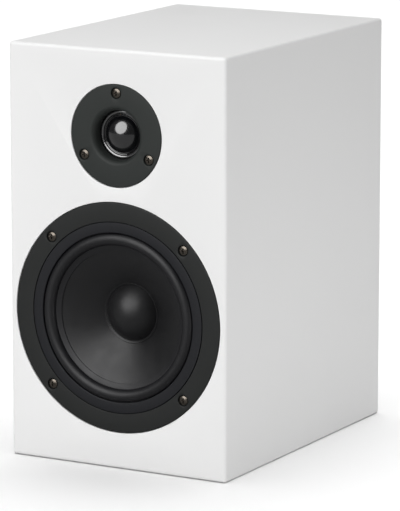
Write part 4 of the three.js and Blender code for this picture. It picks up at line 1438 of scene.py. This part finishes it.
@dataclass
class Tweeter:
    """The dome driver. Radii and depths are in millimetres about its axis on the baffle's front plane."""

    plate_thick: float = 4.0
    dish: float = 18.75
    throat: float = 15.5
    dish_depth: float = 4.0
    boss: float = 21.5
    boss_depth: float = 7.5
    edge: float = 0.6
    dome_radius: float = 12.5
    dome_rise: float = 7.25
    dome_base: float = 8.0
    shell: float = 0.4
    foot: float = 0.1
    foot_gap: float = 0.02
    roll: float = 1.1
    roll_start: float = 20.0
    film: float = 0.4
    gap: float = 0.25
    sides: int = 192
    centre: Floats = field(default_factory=lambda: axis_of("tweeter_faceplate"))

    def lathed(self, name: str, profile: Floats, ring: bool = True) -> bpy.types.Object:
        """Turns a profile about the driver's axis."""
        return carried(name, circle(self.sides), profile, self.centre, ring)

    def faceplate(self) -> bpy.types.Object:
        """Builds the plate: its front leads through a quarter ellipse into the throat.

        Returns:
            The plate.
        """
        outer = size_mm("tweeter_faceplate")[0] / 2
        turn = np.linspace(0, np.pi / 2, 17)
        shoulder = np.stack([self.dish - (self.dish - self.throat) * np.sin(turn),
                             self.dish_depth * (1 - np.cos(turn))], -1)
        rest = rounded([(self.throat, self.boss_depth, 0.1), (self.boss, self.boss_depth, 0.3),
                        (self.boss, self.plate_thick, 0.2), (outer, self.plate_thick, 0.2),
                        (outer, 0, self.edge), (self.dish, 0, 0)])
        profile = np.concatenate([shoulder, rest[:-1]])
        plate = self.lathed("tweeter_plate", profile)
        tools = [CrossHeadScrew().seat(f"tweeter_screw_{index}", self.centre[1]) for index in range(1, 4)]
        return dressed(carved(plate, tools), FACEPLATE, Body.SPEAKER, "tweeter_faceplate")

    def surround(self) -> bpy.types.Object:
        """Builds the small roll round the dome, with its flat rim under the plate's boss.

        The roll is most of half a circle, and a smaller one gives the film its thickness.

        Returns:
            The roll.
        """
        top = self.boss_depth + self.gap
        outer, inner = size_mm("tweeter_surround")[0] / 2, self.dome_radius + self.gap
        middle, reach = inner + self.roll + self.film / 2, self.roll + self.film / 2
        start = math.radians(self.roll_start)
        turn = np.linspace(start, np.pi, 17)
        over = np.stack([middle + reach * np.cos(turn), top + self.film - reach * np.sin(turn)], -1)
        turn = np.linspace(np.pi - start, start, 15)
        thin = reach - self.film
        under = np.stack([middle + thin * np.cos(turn), top + self.film - thin * np.sin(turn)], -1)
        profile = np.concatenate([[(outer, top), (self.throat, top)], over,
                                  [(inner + self.film, top + self.film)], under, [(outer, top + self.film)]])
        piece = self.lathed("tweeter_roll", profile)
        ends = (self.centre + (self.throat, 0, 0), self.centre + (inner, 0, 0))
        flexed(piece, TWEETER_ROLL, Body.TWEETER, ends, "tweeter_surround")
        bend_by_radius(piece)
        return piece

    def dome(self) -> bpy.types.Object:
        """Builds the dome, a thin part of a sphere on a low foot.

        Returns:
            The dome.
        """
        outside = dome(self.dome_radius, self.dome_rise, self.dome_base, 32)
        inside = dome(self.dome_radius - self.shell, self.dome_rise - self.shell, self.dome_base, 32)[::-1]
        rim = self.dome_radius + self.gap - self.foot_gap
        foot = [(rim, self.dome_base - self.foot), (rim, self.dome_base)]
        piece = self.lathed("tweeter_silk_dome", np.concatenate([outside, foot, inside]), ring=False)
        return dressed(piece, DOME, Body.TWEETER, "tweeter_dome")

    def build(self) -> None:
        """Builds and dresses the driver's visible pieces."""
        self.faceplate()
        self.surround()
        self.dome()
        for index in range(1, 4):
            CrossHeadScrew().build(f"tweeter_screw_{index}")


# ---- studio ----------------------------------------------------------------------------------------


@dataclass
class SoftBox:
    """A flat soft lamp. Its place and target are in metres."""

    name: str
    place: Corner
    target: Corner
    width: float
    height: float
    power: float
    shape: str = "RECTANGLE"
    lights: bool = True
    reflected: bool = True

    def build(self, unlit: bpy.types.Collection) -> None:
        """Adds the lamp, turned towards its target.

        Args:
            unlit: the collection whose objects the lamp leaves out.
        """
        lamp = bpy.data.lights.new(self.name, "AREA")
        lamp.shape = self.shape
        lamp.size, lamp.size_y = self.width, self.height
        lamp.energy = self.power
        holder = bpy.data.objects.new(self.name, lamp)
        holder.location = self.place
        way = Vector(self.target) - Vector(self.place)
        holder.rotation_euler = way.to_track_quat("-Z", "Y").to_euler()
        holder.visible_camera = False
        holder.visible_diffuse = self.lights
        holder.visible_glossy = self.reflected
        holder.light_linking.receiver_collection = unlit
        bpy.context.scene.collection.objects.link(holder)


AIM = (0.0, 0.0, 0.13)
LAMPS = (
    SoftBox("key", (-0.48, -2.18, 1.45), AIM, 1.7, 1.7, 29.0, "DISK", reflected=False),
    SoftBox("key_card", (-0.469, -2.128, 1.417), AIM, 2.7, 2.7, 95.0, "DISK", lights=False),
    SoftBox("fill", (2.5, -0.4, 0.2), AIM, 2.0, 1.4, 2.5),
    SoftBox("back_fill", (-0.7, 2.4, 0.35), AIM, 1.6, 1.0, 10.0, reflected=False),
    SoftBox("low_fill", (0.50, -0.05, 0.03), (0.0, 0.0, 0.03), 0.5, 0.05, 0.6),
    SoftBox("front_low", (-0.1, -0.55, 0.03), (0.0, -0.1, 0.02), 0.6, 0.05, 0.42, reflected=False),
)


@dataclass
class Studio:
    """Camera, lamps, pale floor and even surroundings. Lengths are in metres."""

    azimuth: float = 29.18
    elevation: float = 11.2
    distance: float = 2.3084
    aim_height: float = 0.1165
    lens: float = 254.6
    sensor: float = 36.0
    view_reach: float = 100.0
    floor_reach: float = 14.0
    surround_light: float = 0.10
    surround_seen: float = 1.0
    floor_tone: float = 0.70
    floor_in_gloss: float = 0.36
    floor_seen: float = 0.97
    floor_roughness: float = 0.9
    sun_power: float = 2.3
    floor_sun_power: float = 0.9
    sun_spread: float = 64.0
    sun_way: Corner = (0.05, -0.08, -1.0)

    def camera(self) -> None:
        """Adds the camera on a sphere about the aim point."""
        data = bpy.data.cameras.new("camera")
        data.lens, data.sensor_width = self.lens, self.sensor
        data.clip_end = self.view_reach
        holder = bpy.data.objects.new("camera", data)
        a, e = math.radians(self.azimuth), math.radians(self.elevation)
        back = Vector((math.sin(a) * math.cos(e), -math.cos(a) * math.cos(e), math.sin(e)))
        holder.location = Vector((0, 0, self.aim_height)) + back * self.distance
        holder.rotation_euler = (-back).to_track_quat("-Z", "Y").to_euler()
        bpy.context.scene.collection.objects.link(holder)
        bpy.context.scene.camera = holder

    def floor(self) -> bpy.types.Object:
        """Adds the plain floor. The camera sees it paler than the surfaces that it lights or is mirrored in.

        Returns:
            The floor.
        """
        reach = self.floor_reach
        mesh = bpy.data.meshes.new("floor")
        corners = [(-reach, -reach, 0), (reach, -reach, 0), (reach, reach, 0), (-reach, reach, 0)]
        mesh.from_pydata(corners, [], [(0, 1, 2, 3)])
        holder = bpy.data.objects.new("floor", mesh)
        bpy.context.scene.collection.objects.link(holder)
        graph = Graph("pale_floor")
        rays = graph.add("ShaderNodeLightPath")
        tones = [(tone,) * 3 for tone in (self.floor_tone, self.floor_in_gloss)]
        seen = graph.add("ShaderNodeMix", data_type="RGBA")
        seen.inputs["B"].default_value = (self.floor_seen,) * 3 + (1,)
        graph.join(rays.outputs["Is Camera Ray"], seen.inputs["Factor"])
        graph.join(graph.mix(rays.outputs["Is Glossy Ray"], *tones), seen.inputs["A"])
        graph.join(seen.outputs["Result"], graph.shader.inputs["Base Color"])
        graph.shader.inputs["Roughness"].default_value = self.floor_roughness
        graph.shader.inputs["Specular IOR Level"].default_value = 0.0
        mesh.materials.append(graph.material)
        return holder

    def surroundings(self) -> None:
        """Adds even light from all round. The camera itself sees it white."""
        world = bpy.data.worlds.new("studio")
        bpy.context.scene.world = world
        world.use_nodes = True
        sky = world.node_tree.nodes["Background"]
        sky.inputs["Color"].default_value = (1, 1, 1, 1)
        rays = world.node_tree.nodes.new("ShaderNodeLightPath")
        strength = world.node_tree.nodes.new("ShaderNodeMapRange")
        strength.inputs["To Min"].default_value = self.surround_light
        strength.inputs["To Max"].default_value = self.surround_seen
        world.node_tree.links.new(rays.outputs["Is Camera Ray"], strength.inputs["Value"])
        world.node_tree.links.new(strength.outputs["Result"], sky.inputs["Strength"])

    def sun(self, name: str, power: float, receivers: bpy.types.Collection | None = None) -> None:
        """Adds a wide soft light from above, even over the whole floor.

        Args:
            name: its name.
            power: its power in watts per square metre.
            receivers: the collection that it is kept to, if any.
        """
        lamp = bpy.data.lights.new(name, "SUN")
        lamp.energy = power
        lamp.angle = math.radians(self.sun_spread)
        holder = bpy.data.objects.new(name, lamp)
        holder.rotation_euler = Vector(self.sun_way).to_track_quat("-Z", "Y").to_euler()
        holder.visible_glossy = False
        holder.light_linking.receiver_collection = receivers
        bpy.context.scene.collection.objects.link(holder)

    def build(self) -> None:
        """Builds the studio."""
        self.camera()
        floor = self.floor()
        unlit, floor_only = (bpy.data.collections.new(name) for name in ("left_out_by_lamps", "floor_only"))
        for group, state in ((unlit, "EXCLUDE"), (floor_only, "INCLUDE")):
            group.objects.link(floor)
            group.collection_objects[0].light_linking.link_state = state
        self.surroundings()
        bpy.context.scene.view_settings.view_transform = "Standard"
        for lamp in LAMPS:
            lamp.build(unlit)
        self.sun("overhead", self.sun_power)
        self.sun("overhead_for_floor", self.floor_sun_power, floor_only)


def slot_finish(slot: str) -> Finish:
    """Returns the inside finish of a material slot."""
    return next(finish for finish in INSIDE_FINISHES if finish.slot == slot)


def dress_inside() -> None:
    """Gives every CAD node that is still shown its slot's finish."""
    slots = {row["node"]: row["material_slot"] for row in frame["record"]["subparts"]}
    for name, node in frame["nodes"].items():
        if not node.hide_render:
            finish = slot_finish(slots[name])
            node.data.materials.clear()
            node.data.materials.append(finish.material())


def main() -> None:
    """Builds the studio and the speaker's sub-assemblies in order."""
    logging.basicConfig(level=logging.INFO, format="%(name)s: %(message)s")
    Studio().build()
    Cabinet().build()
    Port().build()
    TerminalPanel().build()
    DampingPad().build()
    Woofer().build()
    Tweeter().build()
    dress_inside()


if __name__ == "__main__":
    main()
